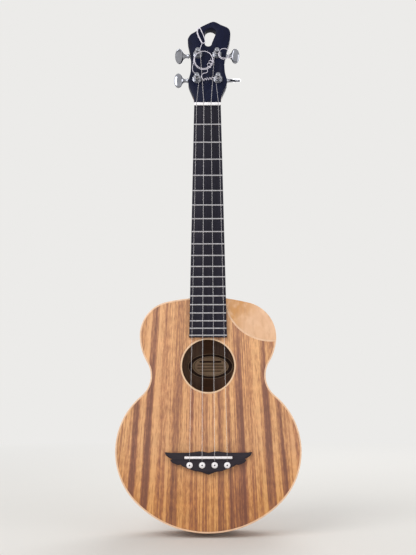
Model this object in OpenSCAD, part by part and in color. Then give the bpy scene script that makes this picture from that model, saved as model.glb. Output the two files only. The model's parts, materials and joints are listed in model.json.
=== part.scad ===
// Tenor ukulele with a bevelled cutaway, neck up.
// x runs to the treble side, y to the back and z up the neck. The origin is on the neck's
// glue plane, on the centreline, where the scale starts at the nut.

/* [Scale and neck] */
// Scale length, nut to nominal saddle line
scale_length = 432; // [400:1:520]
// Distance the saddle is set behind the nominal line
compensation = 3; // [0:0.5:5]
// Fret at which the neck meets the body
join_fret = 14; // [13:1:14]
// Gap from the join fret to the edge of the body
join_lead = 1.4; // [0.5:0.1:4]
// Width of the fretboard at the nut
board_w_nut = 33.4; // [31:0.2:40]
// Width of the fretboard at its end over the body
board_w_end = 46.4; // [42:0.2:54]
// Thickness of the fretboard
board_t = 5; // [4:0.1:7]
// Width of a fret's crown
fret_w = 2; // [1.6:0.1:2.6]
// Width of a fret's tang
tang_w = 0.5; // [0.4:0.05:0.8]
// Depth of a fret's tang
tang_depth = 1.6; // [1:0.1:2]
// Length of the nut along the strings
nut_len = 3.5; // [3:0.1:5]
// Height of the string slots in the nut above the tops of the frets
nut_lift = 0.2; // [0.1:0.05:3]
// Depth of the string slots in the nut
nut_lip = 1.2; // [0.8:0.1:3.8]
// Depth of the neck's wood behind the glue plane at the nut
neck_depth_nut = 14.5; // [12:0.5:18]
// Depth of the neck's wood at the start of the heel
neck_depth_heel = 16.5; // [13:0.5:20]
// Length of the heel's sweep along the neck
heel_len = 40; // [30:1:55]
// Length of the heel cap along the neck
heel_cap_len = 11; // [8:0.5:16]
// Thickness of the heel cap
heel_cap_t = 2; // [1:0.5:4]
// Diameter of the two dowels that join neck and body
dowel_d = 8; // [6:0.5:10]
// Length of each dowel on either side of the joint
dowel_half = 12; // [8:1:13]

/* [Body] */
// Length of the body
body_length = 284.6; // [270:1:342]
// Width of the upper bout
upper_bout_w = 167.6; // [158:1:175]
// Distance of the widest upper bout below the body's top edge
upper_bout_at = 46.5; // [44:0.5:49]
// Radius of the shoulders
shoulder_r = 42; // [36:1:43]
// Width of the waist
waist_w = 140.4; // [132:0.2:144]
// Distance of the waist below the body's top edge
waist_at = 95.8; // [92:0.5:99]
// Width of the lower bout
lower_bout_w = 226; // [216:1:272]
// Distance of the widest lower bout below the body's top edge
lower_bout_at = 187; // [182:1:190]
// Radius of the lower bout's flanks
flank_r = 86.8; // [78:0.2:90]
// Depth of the body at the neck
depth_neck = 60; // [52:1:75]
// Depth of the body at the tail
depth_tail = 72; // [56:1:90]
// Thickness of the soundboard
top_t = 2.4; // [1.8:0.1:3.2]
// Thickness of the back
back_t = 2.4; // [1.8:0.1:3.5]
// Thickness of the sides
side_t = 2; // [1.9:0.1:3]
// Width of the edge binding, seen from the front
binding_w = 1.8; // [1.2:0.1:1.9]
// Height of the edge binding, seen from the side
binding_h = 5; // [4:0.5:7]
// Width of the linings inside the rim
lining_w = 6; // [4:0.5:9]
// Height of the linings
lining_h = 11; // [8:0.5:15]
// Half width of the neck and tail blocks
block_half = 30; // [26:1:34]
// Thickness of the neck block along the body
neck_block_t = 22; // [19:1:26]
// Thickness of the tail block along the body
tail_block_t = 14; // [10:1:20]
// Width of the top and back braces
brace_w = 6; // [5:0.5:9]
// Height of the top and back braces
brace_h = 8; // [6:0.5:11]
// Thickness of the bridge plate under the soundboard
plate_t = 2; // [1.5:0.1:3]

/* [Soundhole] */
// Radius of the soundhole
soundhole_r = 32; // [28:0.5:34]
// Distance of the soundhole's centre below the body's top edge
soundhole_at = 83.9; // [80:0.1:90]
// Width of the ring let into the soundhole's edge
ring_w = 2; // [1:0.1:4]
// Width of the oval paper label
label_w = 58; // [40:1:64]
// Height of the oval paper label
label_h = 32; // [24:1:40]

/* [Cutaway bevel] */
// Radius of the bevel's edge on the soundboard
bevel_r = 56; // [50:0.5:58]
// Sideways place of the bevel's centre
bevel_x = 77; // [74:0.5:82]
// Height of the bevel's centre above the body's top edge
bevel_above = 3.5; // [0:0.5:6]
// Distance of the bowl's centre in front of the soundboard
bevel_rise = 80; // [70:1:110]
// Thickness of the bevel's veneer panel
bevel_t = 2.5; // [1.5:0.1:3]
// Width of the strip between soundboard and bevel
strip_w = 2; // [1:0.1:3]
// Depth of that strip
strip_t = 1.6; // [1:0.1:2]
// Thickness of the block behind the bevel
bevel_block_t = 8; // [5:0.5:11]

/* [Bridge and strings] */
// Thickness of the bridge
bridge_t = 7; // [5.5:0.1:9]
// Thickness of the bridge at its wing tips
wing_t = 3.4; // [2:0.1:5]
// Length of the saddle
saddle_len = 57.4; // [50:0.2:62]
// Thickness of the saddle
saddle_t = 3; // [2.2:0.1:3.4]
// Depth of the saddle's slot
saddle_slot = 4; // [3:0.1:5]
// Height of the saddle's crest above the tops of the frets
saddle_rise = 4.9; // [4.2:0.1:8]
// Distance of the bridge pins behind the saddle
pin_back = 9.1; // [8.6:0.1:10]
// Diameter of a bridge pin's shaft
pin_d = 4.8; // [4:0.1:5.6]
// Amount by which a bridge pin is thinner at its tip
pin_taper = 1; // [0.6:0.1:1.4]
// Diameter of a bridge pin's head
pin_head_d = 7.5; // [6.6:0.1:8]
// Length of a bridge pin below its head
pin_len = 20; // [16:0.5:24]
// Diameter of the dot in a pin's head
pin_dot_d = 1.8; // [1:0.1:3]
// Spread of the outer strings at the nut
spread_nut = 27.3; // [24:0.1:29]
// Spread of the outer strings at the saddle
spread_saddle = 45.3; // [40:0.1:48]
// Thickest string
string_d_max = 0.92; // [0.8:0.02:1]
// Thinnest string
string_d_min = 0.7; // [0.6:0.02:0.8]

/* [Headstock] */
// Angle of the headstock behind the fretboard
head_tilt = 13; // [8:0.5:16]
// Thickness of the headstock's wood
head_t = 10.5; // [9:0.5:14]
// Thickness of the veneer on the headstock's face
overlay_t = 1.5; // [1:0.1:2.5]
// Height above the nut at which neck and headstock are joined
head_join = 12; // [10:0.5:16]
// Sideways place of the lower tuner posts
lower_post_x = 13.3; // [12.6:0.1:14]
// Height of the lower tuner posts above the nut
lower_post_at = 34.5; // [32:0.5:37]
// Sideways place of the upper tuner posts
upper_post_x = 12.3; // [11.8:0.1:13]
// Height of the upper tuner posts above the nut
upper_post_at = 70.5; // [68:0.5:73]

/* [Tuners] */
// Diameter of a tuner post
post_d = 6; // [5.6:0.1:6.4]
// Diameter of the post where the string winds
post_neck_d = 5.2; // [4.6:0.1:5.4]
// Diameter of the threaded bushing's sleeve
bushing_d = 8; // [7.4:0.1:9]
// Width across the flats of the bushing's hexagon
hex_w = 10; // [9.5:0.1:11]
// Thickness of the hexagon
hex_t = 2.5; // [2:0.1:3]
// Diameter of the washer
washer_d = 11.4; // [10.6:0.1:13]
// Thickness of the washer
washer_t = 0.8; // [0.5:0.1:1.2]
// Number of teeth on the gear
gear_teeth = 14; // [12:1:14]
// Module of gear and worm
gear_module = 0.75; // [0.7:0.01:0.78]
// Face width of the gear
gear_t = 2.8; // [2:0.1:3]
// Pitch diameter of the worm
worm_d = 5; // [4.6:0.1:5.2]
// Diameter of the worm's shaft
shaft_d = 3.8; // [3.2:0.1:4.2]
// Depth of the tuner's case behind the headstock
case_depth = 10.4; // [9.8:0.1:12]
// Width of a button
button_w = 20; // [16:0.5:22]
// Length of a button along its shaft
button_len = 11.5; // [10:0.5:13]
// Thickness of a button
button_t = 4.8; // [4.6:0.1:6]

/* [Fits] */
// Gap left by a glued or pressed seat
glue = 0.05; // [0.02:0.01:0.08]
// Radial clearance of a turning shaft
running = 0.06; // [0.03:0.01:0.1]
// Gap between a string and what it passes
string_gap = 0.15; // [0.1:0.01:0.2]

/* [Hidden] */
$fn = 48;
// Angle between the points of an arc in an outline
arc_step = 3;
// Larger than the whole body, for cutting blocks
reach = 400;

// Neck and fretboard
function fret_at(n) = scale_length * (1 - pow(2, -n / 12));
body_top = fret_at(join_fret) + join_lead;
body_bottom = body_top + body_length;
hole_at = body_top + soundhole_at;
board_gap = 0.4;
board_end = hole_at - soundhole_r - ring_w - board_gap;
fret_margin = 2;
last_fret = 24;
frets_used = [for (n = [1:last_fret]) if (fret_at(n) < board_end - fret_margin) n];
fret_end_gap = 0.3;
// Heights above the glue plane: a fret's crown is a half round on the fretboard
fret_top = board_t + fret_w / 2;
nut_floor = fret_top + nut_lift;
nut_top = nut_floor + nut_lip;
saddle_h = fret_top + saddle_rise;
function board_half(w) = (board_w_nut + (board_w_end - board_w_nut) * w / board_end) / 2;
saddle_at = scale_length + compensation;
pin_at = saddle_at + pin_back;

// Body outline as tangent arcs, each centre as [x, z]
half_up = upper_bout_w / 2;
half_waist = waist_w / 2;
half_low = lower_bout_w / 2;
low_to_tail = body_length - lower_bout_at;
waist_to_low = lower_bout_at - waist_at;
up_to_waist = waist_at - upper_bout_at;
shoulder_x = half_up - shoulder_r;
crest_r = (pow(shoulder_x, 2) + pow(upper_bout_at, 2) - pow(shoulder_r, 2))
    / (2 * (upper_bout_at - shoulder_r));
flank_x = half_low - flank_r;
tail_r = (pow(flank_x, 2) + pow(low_to_tail, 2) - pow(flank_r, 2)) / (2 * (low_to_tail - flank_r));
waist_in = half_waist - flank_x;
waist_r = (pow(waist_in, 2) + pow(waist_to_low, 2) - pow(flank_r, 2)) / (2 * (flank_r - waist_in));
waist_c = [half_waist + waist_r, -body_top - waist_at];
waist_out = waist_c.x - half_up;
bout_r = (pow(waist_out, 2) + pow(up_to_waist, 2) - pow(waist_r, 2)) / (2 * (waist_r - waist_out));
crest_c = [0, -body_top - crest_r];
shoulder_c = [shoulder_x, -body_top - upper_bout_at];
bout_c = [half_up - bout_r, -body_top - upper_bout_at];
flank_c = [flank_x, -body_top - lower_bout_at];
tail_c = [0, -body_bottom + tail_r];

function heading(v) = atan2(v.y, v.x);
crest_turn = heading(shoulder_c - crest_c);
bout_turn = heading(waist_c - bout_c);
flank_turn = heading(waist_c - flank_c);
tail_turn = heading(tail_r > flank_r ? flank_c - tail_c : tail_c - flank_c);

function arc(c, r, a0, a1) =
    let (n = max(2, ceil(abs(a1 - a0) / arc_step)))
    [for (i = [0:n]) let (a = a0 + (a1 - a0) * i / n) c + r * [cos(a), sin(a)]];
function rest(list) = [for (i = [1:len(list) - 1]) list[i]];
function back_to_front(list) = [for (i = [len(list) - 1:-1:0]) list[i]];
function mirrored(list) = [for (p = list) [-p.x, p.y]];

// Treble half of the outline, drawn in by inset, from the neck round to the tail
function half_outline(inset) = concat(
    arc(crest_c, crest_r - inset, 90, crest_turn),
    rest(arc(shoulder_c, shoulder_r - inset, crest_turn, 0)),
    rest(arc(bout_c, bout_r - inset, 0, bout_turn)),
    rest(arc(waist_c, waist_r + inset, bout_turn + 180, flank_turn + 180)),
    rest(arc(flank_c, flank_r - inset, flank_turn, tail_turn)),
    rest(arc(tail_c, tail_r - inset, tail_turn, -90)));
function whole_outline(inset) =
    let (half = half_outline(inset), left = back_to_front(mirrored(half)))
    concat(half, [for (i = [1:len(left) - 2]) left[i]]);

module body_shape(inset) { polygon(whole_outline(inset)); }
module rim_band(inset, w, side) {
    half = concat(half_outline(inset), back_to_front(half_outline(inset + w)));
    polygon(side > 0 ? half : mirrored(half));
}
// Extrudes a front view between two depths
module slab(y0, y1) { translate([0, y1, 0]) rotate([90, 0, 0]) linear_extrude(y1 - y0) children(); }
// A box between two distances below the nut
module span(half_w, y0, y1, w0, w1) { translate([-half_w, y0, -w1]) cube([2 * half_w, y1 - y0, w1 - w0]); }
// A bar along y at x and w below the nut
module bar_y(x, w, y0, y1, d) { translate([x, y0, -w]) rotate([-90, 0, 0]) cylinder(d = d, h = y1 - y0); }

// The back is a plane that leans away from the soundboard towards the tail
back_lean = atan((depth_tail - depth_neck) / body_length);
deepest = max(depth_neck, depth_tail) + binding_h;
module back_layer(inset, t) {
    translate([0, depth_neck, -body_top]) rotate([back_lean, 0, 0])
        translate([-reach, -inset - t, -reach]) cube([2 * reach, t, 2 * reach]);
}
module behind_back(inset) { back_layer(inset - reach, reach); }
function back_at(w, inset) = depth_neck + (w - body_top) * tan(back_lean) - inset / cos(back_lean);

inner = side_t + glue;
clear = inner + lining_w + glue;

// Bowl that scoops the treble shoulder
bowl_r = norm([bevel_r, bevel_rise]);
bevel_at = body_top - bevel_above;
bevel_deep = 45;
module bowl(grow) { translate([bevel_x, -bevel_rise, -bevel_at]) sphere(r = bowl_r + grow, $fn = 96); }
module drum(grow) { bar_y(bevel_x, bevel_at, -1, bevel_deep, 2 * (bevel_r + grow)); }
module bevel_room(grow) {
    intersection() {
        bowl(bevel_t + grow);
        drum(strip_w + grow);
    }
}

// Strings
string_count = 4;
strings = [0:string_count - 1];
string_d = [string_d_min, string_d_max, (string_d_min + string_d_max) / 2, string_d_min];
function share(i) = i / (string_count - 1) - 0.5;
function nut_x(i) = spread_nut * share(i);
function saddle_x(i) = spread_saddle * share(i);
string_sides = 6;
// Deepest point of a string below the soundboard, and its knot
string_foot = 7;
knot_d = 1.7;
// A string drops down a slot in front of its pin
drop_at = pin_at - pin_d / 2 - string_d_max / 2 - string_gap;
drop_y = -4.5;
slot_half = string_d_max / 2 + string_gap;
pin_fit = glue;

module pin_holes(y0, y1) {
    for (i = strings) {
        bar_y(saddle_x(i), pin_at, y0, y1, pin_d + 2 * pin_fit);
        translate([saddle_x(i), 0, 0]) span(slot_half, y0, y1, drop_at - slot_half, pin_at);
    }
}

// Headstock frame: x across, -y out of its face, z up its length from the nut
module at_head() { translate([0, 0, nut_len]) rotate([-head_tilt, 0, 0]) children(); }
module head_slab(y0, y1) { at_head() slab(y0, y1) children(); }
function head_point(x, h, q) = [
    x,
    q * sin(head_tilt) - h * cos(head_tilt),
    nut_len + q * cos(head_tilt) + h * sin(head_tilt)];

// Outline of the headstock from the nut up the treble side and down the bass side
throat = [[board_w_nut / 2, 0.3], [17, 6], [18.2, head_join]];
treble_edge = [[21, 19], [23.8, 26], [24.9, 31], [24.2, 36.5], [22.5, 44], [21.8, 54], [22.3, 63],
    [25.4, 79.3], [27.9, 88], [29.6, 97], [29.5, 104.5], [26.6, 110.2], [17.4, 115], [12.4, 118.1]];
bass_edge = [[9.1, 119.5], [5.4, 119], [-2.8, 114.9], [-9.3, 110.8], [-12.6, 106.6], [-16.5, 104],
    [-21.4, 100.6], [-24.5, 95.4], [-25.1, 90.5], [-22.7, 77.3], [-21.1, 66], [-21, 54],
    [-21.6, 44], [-23.4, 36.5], [-24.3, 31], [-23.4, 26], [-20.8, 19]];
head_edge = concat(throat, treble_edge, bass_edge, back_to_front(mirrored(throat)));
curve_steps = 4;
function bend(a, b, c, d, t) =
    0.5 * (2 * b + (c - a) * t + (2 * a - 5 * b + 4 * c - d) * t * t + (3 * b - a - 3 * c + d) * t * t * t);
// Smooth curve through a list of points
function curve(list, steps) =
    let (n = len(list) - 1)
    concat([for (i = [0:n - 1], k = [0:steps - 1])
        bend(list[max(i - 1, 0)], list[i], list[i + 1], list[min(i + 2, n)], k / steps)], [list[n]]);
module head_shape() { polygon(curve(head_edge, curve_steps)); }
// Window through the headstock, two circles and their common tangents
window_top = [4, 102.9];
window_top_r = 7.6;
window_low = [1.2, 87.3];
window_low_r = 4.6;
window_side = window_top - window_low;
window_lean = acos((window_low_r - window_top_r) / norm(window_side));
window_arc = heading(window_side);
module head_window() {
    polygon(concat(
        arc(window_top, window_top_r, window_arc - 180 + window_lean, window_arc + 180 - window_lean),
        arc(window_low, window_low_r, window_arc + 180 - window_lean, window_arc + 180 + window_lean)));
}

// Tuners in string order: lower bass, upper bass, upper treble, lower treble
tuner_side = [-1, -1, 1, 1];
tuner_x = [-lower_post_x, -upper_post_x, upper_post_x, lower_post_x];
tuner_at = [lower_post_at, upper_post_at, upper_post_at, lower_post_at];
button_turn = [6, 38, 14, -58];
pitch_r = gear_module * gear_teeth / 2;
worm_pitch = PI * gear_module;
centres = pitch_r + worm_d / 2;
gear_mid = head_t + 4.8;
tooth_out = 0.92 * gear_module;
tooth_in = 1.2 * gear_module;
worm_turns = 4;
worm_half = worm_turns * worm_pitch / 2 + 0.5;
// Heights along the post, measured out of the headstock's wood
face_h = overlay_t + washer_t + hex_t;
collar_gap = 0.3;
collar_t = 1.2;
winding_h = face_h + collar_gap + collar_t;
winding_len = 5.6;
cap_h = winding_h + winding_len;
post_top = cap_h + 2.4;
post_edge = 0.7;
post_hole_d = 1.6;
gear_seat_d = 4;
rivet_t = 0.7;
rivet_d = 5;
case_wall = 1.4;
case_r = pitch_r + tooth_out + 0.4 + case_wall;
worm_room = worm_d / 2 + tooth_out + 0.35;
neck_out = 4;
neck_d = shaft_d + 2.8;
button_from = 18.2;
stem_from = worm_half + case_wall + neck_out + 0.3;
ear_out = case_r + 2.4;
ear_d = 6.4;
ear_t = 2.6;
screw_d = 2;
screw_head_d = 4.2;
screw_head_h = 1.4;
screw_head_taper = 1;
screw_len = 7;

// Places a tuner's own frame at its post, mirrored on the bass side
module at_tuner(i) {
    at_head() translate([tuner_x[i], 0, tuner_at[i]]) mirror([tuner_side[i] < 0 ? 1 : 0, 0, 0]) children();
}
module post_bar(h0, h1, d) { translate([0, -h1, 0]) rotate([-90, 0, 0]) cylinder(d = d, h = h1 - h0); }
module shaft_bar(x0, x1, d) {
    translate([x0, gear_mid, centres]) rotate([0, 90, 0]) cylinder(d = d, h = x1 - x0);
}

// Sweeps a tube of triangles along points, with a diameter for each
function unit(v) = v / norm(v);
function along(p, i) = unit(p[min(i + 1, len(p) - 1)] - p[max(i - 1, 0)]);
function across(n, t) = unit(n - (n * t) * t);
function sides_of(p) = [for (i = 0, n = across([0.31, 0.87, 0.38], along(p, 0));
    i < len(p);
    i = i + 1, n = i < len(p) ? across(n, along(p, i)) : n) n];
function ring_of(c, n, t, r) =
    let (b = cross(t, n))
    [for (k = [0:string_sides - 1]) let (a = 360 * k / string_sides) c + r * (cos(a) * n + sin(a) * b)];
module tube(p, d) {
    n = sides_of(p);
    s = string_sides;
    last = len(p) - 1;
    rings = [for (i = [0:last]) each ring_of(p[i], n[i], along(p, i), d[i] / 2)];
    walls = [for (i = [0:last - 1], k = [0:s - 1])
        let (a = i * s + k, b = i * s + (k + 1) % s) each [[a, b + s, b], [a, a + s, b + s]]];
    caps = [for (k = [1:s - 2]) each [[0, k, k + 1], [last * s, last * s + k + 1, last * s + k]]];
    polyhedron(rings, concat(walls, caps), convexity = 12);
}
// Least gap between stretches of a tube that are further apart along it than near
function least_gap(p, d, near) = min([for (i = [0:len(p) - 2], j = [i + 1:len(p) - 1])
    if (abs(j - i) > near) norm(p[i] - p[j]) - d]);

// Winding on a post
turn_rings = 24;
winding_turns = [2.25, 2, 2.5, 1.75];
winding_pitch = string_d_max + 0.5;
winding_start = winding_h + string_d_max / 2 + 0.2;
function winding_r(i) = post_neck_d / 2 + string_gap + string_d[i] / 2;
function nut_exit(i) = [nut_x(i), -(nut_floor + string_d[i] / 2 + glue), nut_len];
// Sideways place and height of a string at the nut, in the headstock's frame
function nut_exit_q(i) = nut_exit(i).y * sin(head_tilt);
function touch_turn(i) =
    let (v = [nut_x(i) - tuner_x[i], nut_exit_q(i) - tuner_at[i]])
    heading(v) - tuner_side[i] * acos(winding_r(i) / norm(v));
function winding(i) =
    let (n = round(winding_turns[i] * turn_rings), a0 = touch_turn(i))
    [for (k = [0:n]) let (t = k / turn_rings, a = a0 - tuner_side[i] * 360 * t)
        head_point(tuner_x[i] + winding_r(i) * cos(a), winding_start + winding_pitch * t,
            tuner_at[i] + winding_r(i) * sin(a))];
// Path over the saddle's rounded crest, as [z, height] points
crest_h = saddle_h - saddle_t / 2;
crest_at = [-saddle_at, crest_h];
drop_point = [-drop_at, -drop_y];
crest_steps = 4;
function crest_round(i) = saddle_t / 2 + glue + string_d[i] / 2;
function leave_turn(p, r, side) = let (v = p - crest_at) heading(v) + side * acos(r / norm(v));
function crest_bow(i) =
    let (r = crest_round(i), a0 = leave_turn(drop_point, r, -1) + 360,
        a1 = leave_turn([0, -nut_exit(i).y], r, 1))
    [for (k = [0:crest_steps]) let (a = a0 + (a1 - a0) * k / crest_steps) crest_at + r * [cos(a), sin(a)]];
// A taut string from its knot over the saddle and nut to the last turn on its post
function string_run(i) = concat(
    [[saddle_x(i), string_foot, -drop_at], [saddle_x(i), string_foot - 0.5, -drop_at],
     [saddle_x(i), string_foot - knot_d, -drop_at], [saddle_x(i), string_foot - knot_d - 0.5, -drop_at],
     [saddle_x(i), drop_y, -drop_at]],
    [for (p = crest_bow(i)) [saddle_x(i), -p.y, p.x]],
    [nut_exit(i) - [0, 0, nut_len], nut_exit(i)],
    winding(i));
knot_rings = [0.4, 1, 1, 0];
function string_bore(i) = concat(
    [for (k = knot_rings) k > 0 ? k * knot_d : string_d[i]],
    [for (k = [len(knot_rings):len(string_run(i)) - 1]) string_d[i]]);

// Free ends of the strings past the posts. Points are [x, height, q] in the headstock's frame.
// The first leads up to a wide double loop, the second makes a narrow double leaf, the third goes once
// round and out past the edge, and the fourth crosses in tight curls and climbs in wider ones.
tail_steps = 3;
// Part of a turn left open between a string and its free end
tail_break = 0.012;
curl_rings = 8;
tail_lead = [[-16.4, 10.7, 38.1], [-18.3, 11.7, 40.8], [-18.7, 13.4, 45]];
tail_leaf = [[-9.2, 9.2, 75], [-8, 7.2, 79.6], [-7, 5.4, 84], [-9, 4.6, 89.4], [-11.6, 4.3, 95],
    [-13.1, 4.2, 100.6], [-13.2, 4.2, 104.4], [-12.7, 4.2, 106.9], [-11.5, 4.2, 108.3],
    [-9.9, 4.3, 108.2], [-8.6, 4.4, 106.6], [-7.4, 4.5, 103.8], [-5.9, 4.8, 99.6],
    [-4.1, 5.1, 93.8], [-2.9, 5.6, 89], [-2.9, 6.1, 86.2], [-3.9, 6.6, 84.3], [-5.6, 7, 83.9],
    [-7.1, 7.2, 85.4], [-8.4, 7.1, 88.4], [-10.6, 6.7, 93.8], [-12.3, 6.4, 99.4], [-12.6, 6.3, 103],
    [-12, 6.2, 105.2], [-10.9, 6.2, 106.3], [-9.5, 6.2, 106.1], [-8.4, 6.2, 104.6],
    [-6.4, 6.6, 98.8]];
tail_out = [[25, 12.5, 58.3], [29, 12.6, 58.6], [32.6, 12.6, 59.4]];
tail_rise = [[-7.2, 11.2, 31.4], [-7.2, 11.2, 34.6], [-4.8, 11.2, 37.2], [-1.6, 11.2, 37.8],
    [0.2, 11.3, 40]];
// Part of a flat loop from angle a0, through so many turns, its height rising and its size changing
function loop(c, rx, rq, a0, turns, rise, shrink) =
    let (n = round(abs(turns) * turn_rings))
    [for (k = [0:n]) let (t = k / n, a = a0 + 360 * turns * t, g = 1 - shrink * t)
        c + [g * rx * cos(a), rise * t, g * rq * sin(a)]];
// Curls about a straight axis, opening from nothing in the first half turn
function curls(a, b, r, count) =
    let (n = count * curl_rings, half = 0.5 / count, u = unit(cross(b - a, [0, 1, 0])))
    [for (k = [0:n]) let (t = k / n, e = sin(90 * min(1, t / half)), w = 360 * count * t)
        a + (b - a) * (t + half * e) / (1 + half) + r * e * (cos(w) * u + sin(w) * [0, 1, 0])];
wide_loop = loop([-4.9, 15.6, 52.6], 12.6, 13.9, 190, -2.05, 2.6, 0.12);
round_loop = loop([21, 10.6, 65.6], 7, 8.1, 150, 4 / 3, 1.7, 0.14);
tight_curls = curls([9, 9.7, 31.6], [-5.6, 9.8, 28.8], 1.4, 4.25);
wide_curls = curls([-0.4, 11.3, 43.2], [6.8, 11.3, 56.6], 3, 3);

module soundboard() {
    color("peru") difference() {
        slab(0, top_t) difference() {
            body_shape(binding_w + glue);
            translate([0, -hole_at]) circle(r = soundhole_r + ring_w + glue, $fn = 96);
        }
        bevel_room(glue);
        pin_holes(-1, top_t + 1);
    }
}
module soundhole_ring() {
    color("wheat") slab(0, top_t) translate([0, -hole_at]) difference() {
        circle(r = soundhole_r + ring_w, $fn = 96);
        circle(r = soundhole_r, $fn = 96);
    }
}
module top_binding() {
    color("wheat") {
        slab(0, binding_h) rim_band(0, binding_w, -1);
        difference() {
            slab(0, binding_h) rim_band(0, binding_w, 1);
            bevel_room(glue);
        }
    }
}
module back_binding() {
    color("wheat") for (side = [-1, 1]) intersection() {
        slab(0, deepest) rim_band(0, binding_w, side);
        back_layer(0, binding_h);
    }
}
module back_plate() {
    color("sienna") intersection() {
        slab(0, deepest) body_shape(binding_w + glue);
        back_layer(0, back_t);
    }
}
module side_wall(side) {
    difference() {
        slab(binding_h, deepest) rim_band(0, side_t, side);
        behind_back(binding_h);
        dowel_holes();
        if (side > 0) bevel_room(glue);
    }
}
module side_bass() { color("sienna") side_wall(-1); }
module side_treble() { color("sienna") side_wall(1); }
module block_rooms(grow) {
    span(block_half + grow, 0, deepest, body_top, body_top + inner + neck_block_t + grow);
    span(block_half + grow, 0, deepest, body_bottom - inner - tail_block_t - grow, body_bottom);
}
module top_lining() {
    color("burlywood") for (side = [-1, 1]) difference() {
        slab(top_t, top_t + lining_h) rim_band(inner, lining_w, side);
        block_rooms(glue);
        if (side > 0) bowl(bevel_t + bevel_block_t + glue);
    }
}
module back_lining() {
    color("burlywood") for (side = [-1, 1]) difference() {
        intersection() {
            slab(top_t + lining_h, deepest) rim_band(inner, lining_w, side);
            back_layer(back_t, lining_h);
        }
        block_rooms(glue);
    }
}
dowel_at = [14, 30];
module dowel_holes() {
    for (y = dowel_at) translate([0, y, -body_top - dowel_half - glue])
        cylinder(d = dowel_d + 2 * glue, h = 2 * (dowel_half + glue));
}
module neck_dowels() {
    color("burlywood") for (y = dowel_at) translate([0, y, -body_top - dowel_half])
        cylinder(d = dowel_d, h = 2 * dowel_half);
}
module end_block(w0, w1) {
    difference() {
        intersection() {
            slab(top_t, deepest) body_shape(inner);
            span(block_half, top_t, deepest, w0, w1);
        }
        behind_back(back_t);
    }
}
module neck_block() {
    color("tan") difference() {
        end_block(body_top, body_top + inner + neck_block_t);
        bevel_room(glue);
        dowel_holes();
    }
}
module tail_block() { color("tan") end_block(body_bottom - inner - tail_block_t, body_bottom); }

// Braces: two across the soundboard beside the soundhole, fans above and below the bridge plate
brace_off = 5.5;
brace_up = hole_at - soundhole_r - ring_w - brace_off;
brace_low = hole_at + soundhole_r + ring_w + brace_off;
plate_half = 46;
plate_up = saddle_at - 9;
plate_low = saddle_at + 21;
fan_x = 30;
fan_lean = 7;
fan_h = 5;
module across_brace(w) { span(reach, top_t, top_t + brace_h, w - brace_w / 2, w + brace_w / 2); }
module fan_stretch(w0, w1) {
    intersection() {
        union() for (k = [-1:1])
            translate([k * fan_x, 0, -saddle_at]) rotate([0, k * fan_lean, 0])
                translate([-brace_w / 2, top_t, -reach]) cube([brace_w, fan_h, 2 * reach]);
        span(reach, top_t, top_t + fan_h, w0, w1);
    }
}
module top_braces() {
    color("burlywood") difference() {
        intersection() {
            union() {
                across_brace(brace_up);
                across_brace(brace_low);
                fan_stretch(brace_low + brace_w / 2 + glue, plate_up - glue);
                fan_stretch(plate_low + glue, body_bottom - inner - tail_block_t - 2 * glue);
            }
            slab(top_t, top_t + brace_h) body_shape(clear);
        }
        bowl(bevel_t + bevel_block_t + glue);
    }
}
module bridge_plate() {
    color("tan") difference() {
        span(plate_half, top_t, top_t + plate_t, plate_up, plate_low);
        pin_holes(0, top_t + plate_t + 1);
    }
}
back_braces_at = [35, 122, 200];
module back_bars(grow) {
    for (w = back_braces_at)
        span(reach, 0, deepest, body_top + w - brace_w / 2 - grow, body_top + w + brace_w / 2 + grow);
}
module back_braces() {
    color("burlywood") intersection() {
        back_bars(0);
        slab(0, deepest) body_shape(clear);
        back_layer(back_t, brace_h);
    }
}
strip_half = 5.5;
graft_t = 1.5;
module back_strip() {
    color("burlywood") difference() {
        intersection() {
            span(strip_half, 0, deepest, body_top + inner + neck_block_t + glue,
                body_bottom - inner - tail_block_t - glue);
            back_layer(back_t, graft_t);
        }
        back_bars(glue);
    }
}
label_t = 0.3;
label_x = 3;
module label() {
    color("linen") intersection() {
        slab(0, deepest) translate([label_x, -hole_at])
            polygon([for (a = [0:arc_step * 2:359]) [label_w / 2 * cos(a), label_h / 2 * sin(a)]]);
        back_layer(back_t + graft_t, label_t);
    }
}

module cutaway_bevel() {
    color("bisque") difference() {
        intersection() {
            slab(0, bevel_deep) body_shape(0);
            bowl(bevel_t);
            drum(strip_w);
        }
        bowl(0);
        strip_ring();
    }
}
module strip_ring() {
    difference() {
        bar_y(bevel_x, bevel_at, -1, strip_t, 2 * (bevel_r + strip_w + glue));
        bar_y(bevel_x, bevel_at, -2, strip_t + 1, 2 * bevel_r);
    }
}
module bevel_binding() {
    color("wheat") intersection() {
        slab(0, strip_t) body_shape(0);
        difference() {
            bar_y(bevel_x, bevel_at, -1, strip_t + 1, 2 * (bevel_r + strip_w));
            bar_y(bevel_x, bevel_at, -2, strip_t + 2, 2 * (bevel_r + glue));
        }
    }
}
module bevel_block() {
    color("tan") difference() {
        intersection() {
            slab(top_t + glue, bevel_deep) body_shape(inner);
            bowl(bevel_t + bevel_block_t);
        }
        bowl(bevel_t + glue);
        block_rooms(glue);
    }
}

// Neck: a loft of sections from the body to the headstock
section_steps = 24;
shaft_round = 2.4;
heel_round = 3;
square_end = 14;
heel_depth = depth_neck + 2;
heel_floor = depth_neck - heel_cap_t;
heel_sweep = heel_len - heel_cap_len;
shaft_stations = 6;
heel_steps = 9;
function shaft_depth(w) = neck_depth_nut + (neck_depth_heel - neck_depth_nut) * w / (body_top - heel_len);
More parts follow.
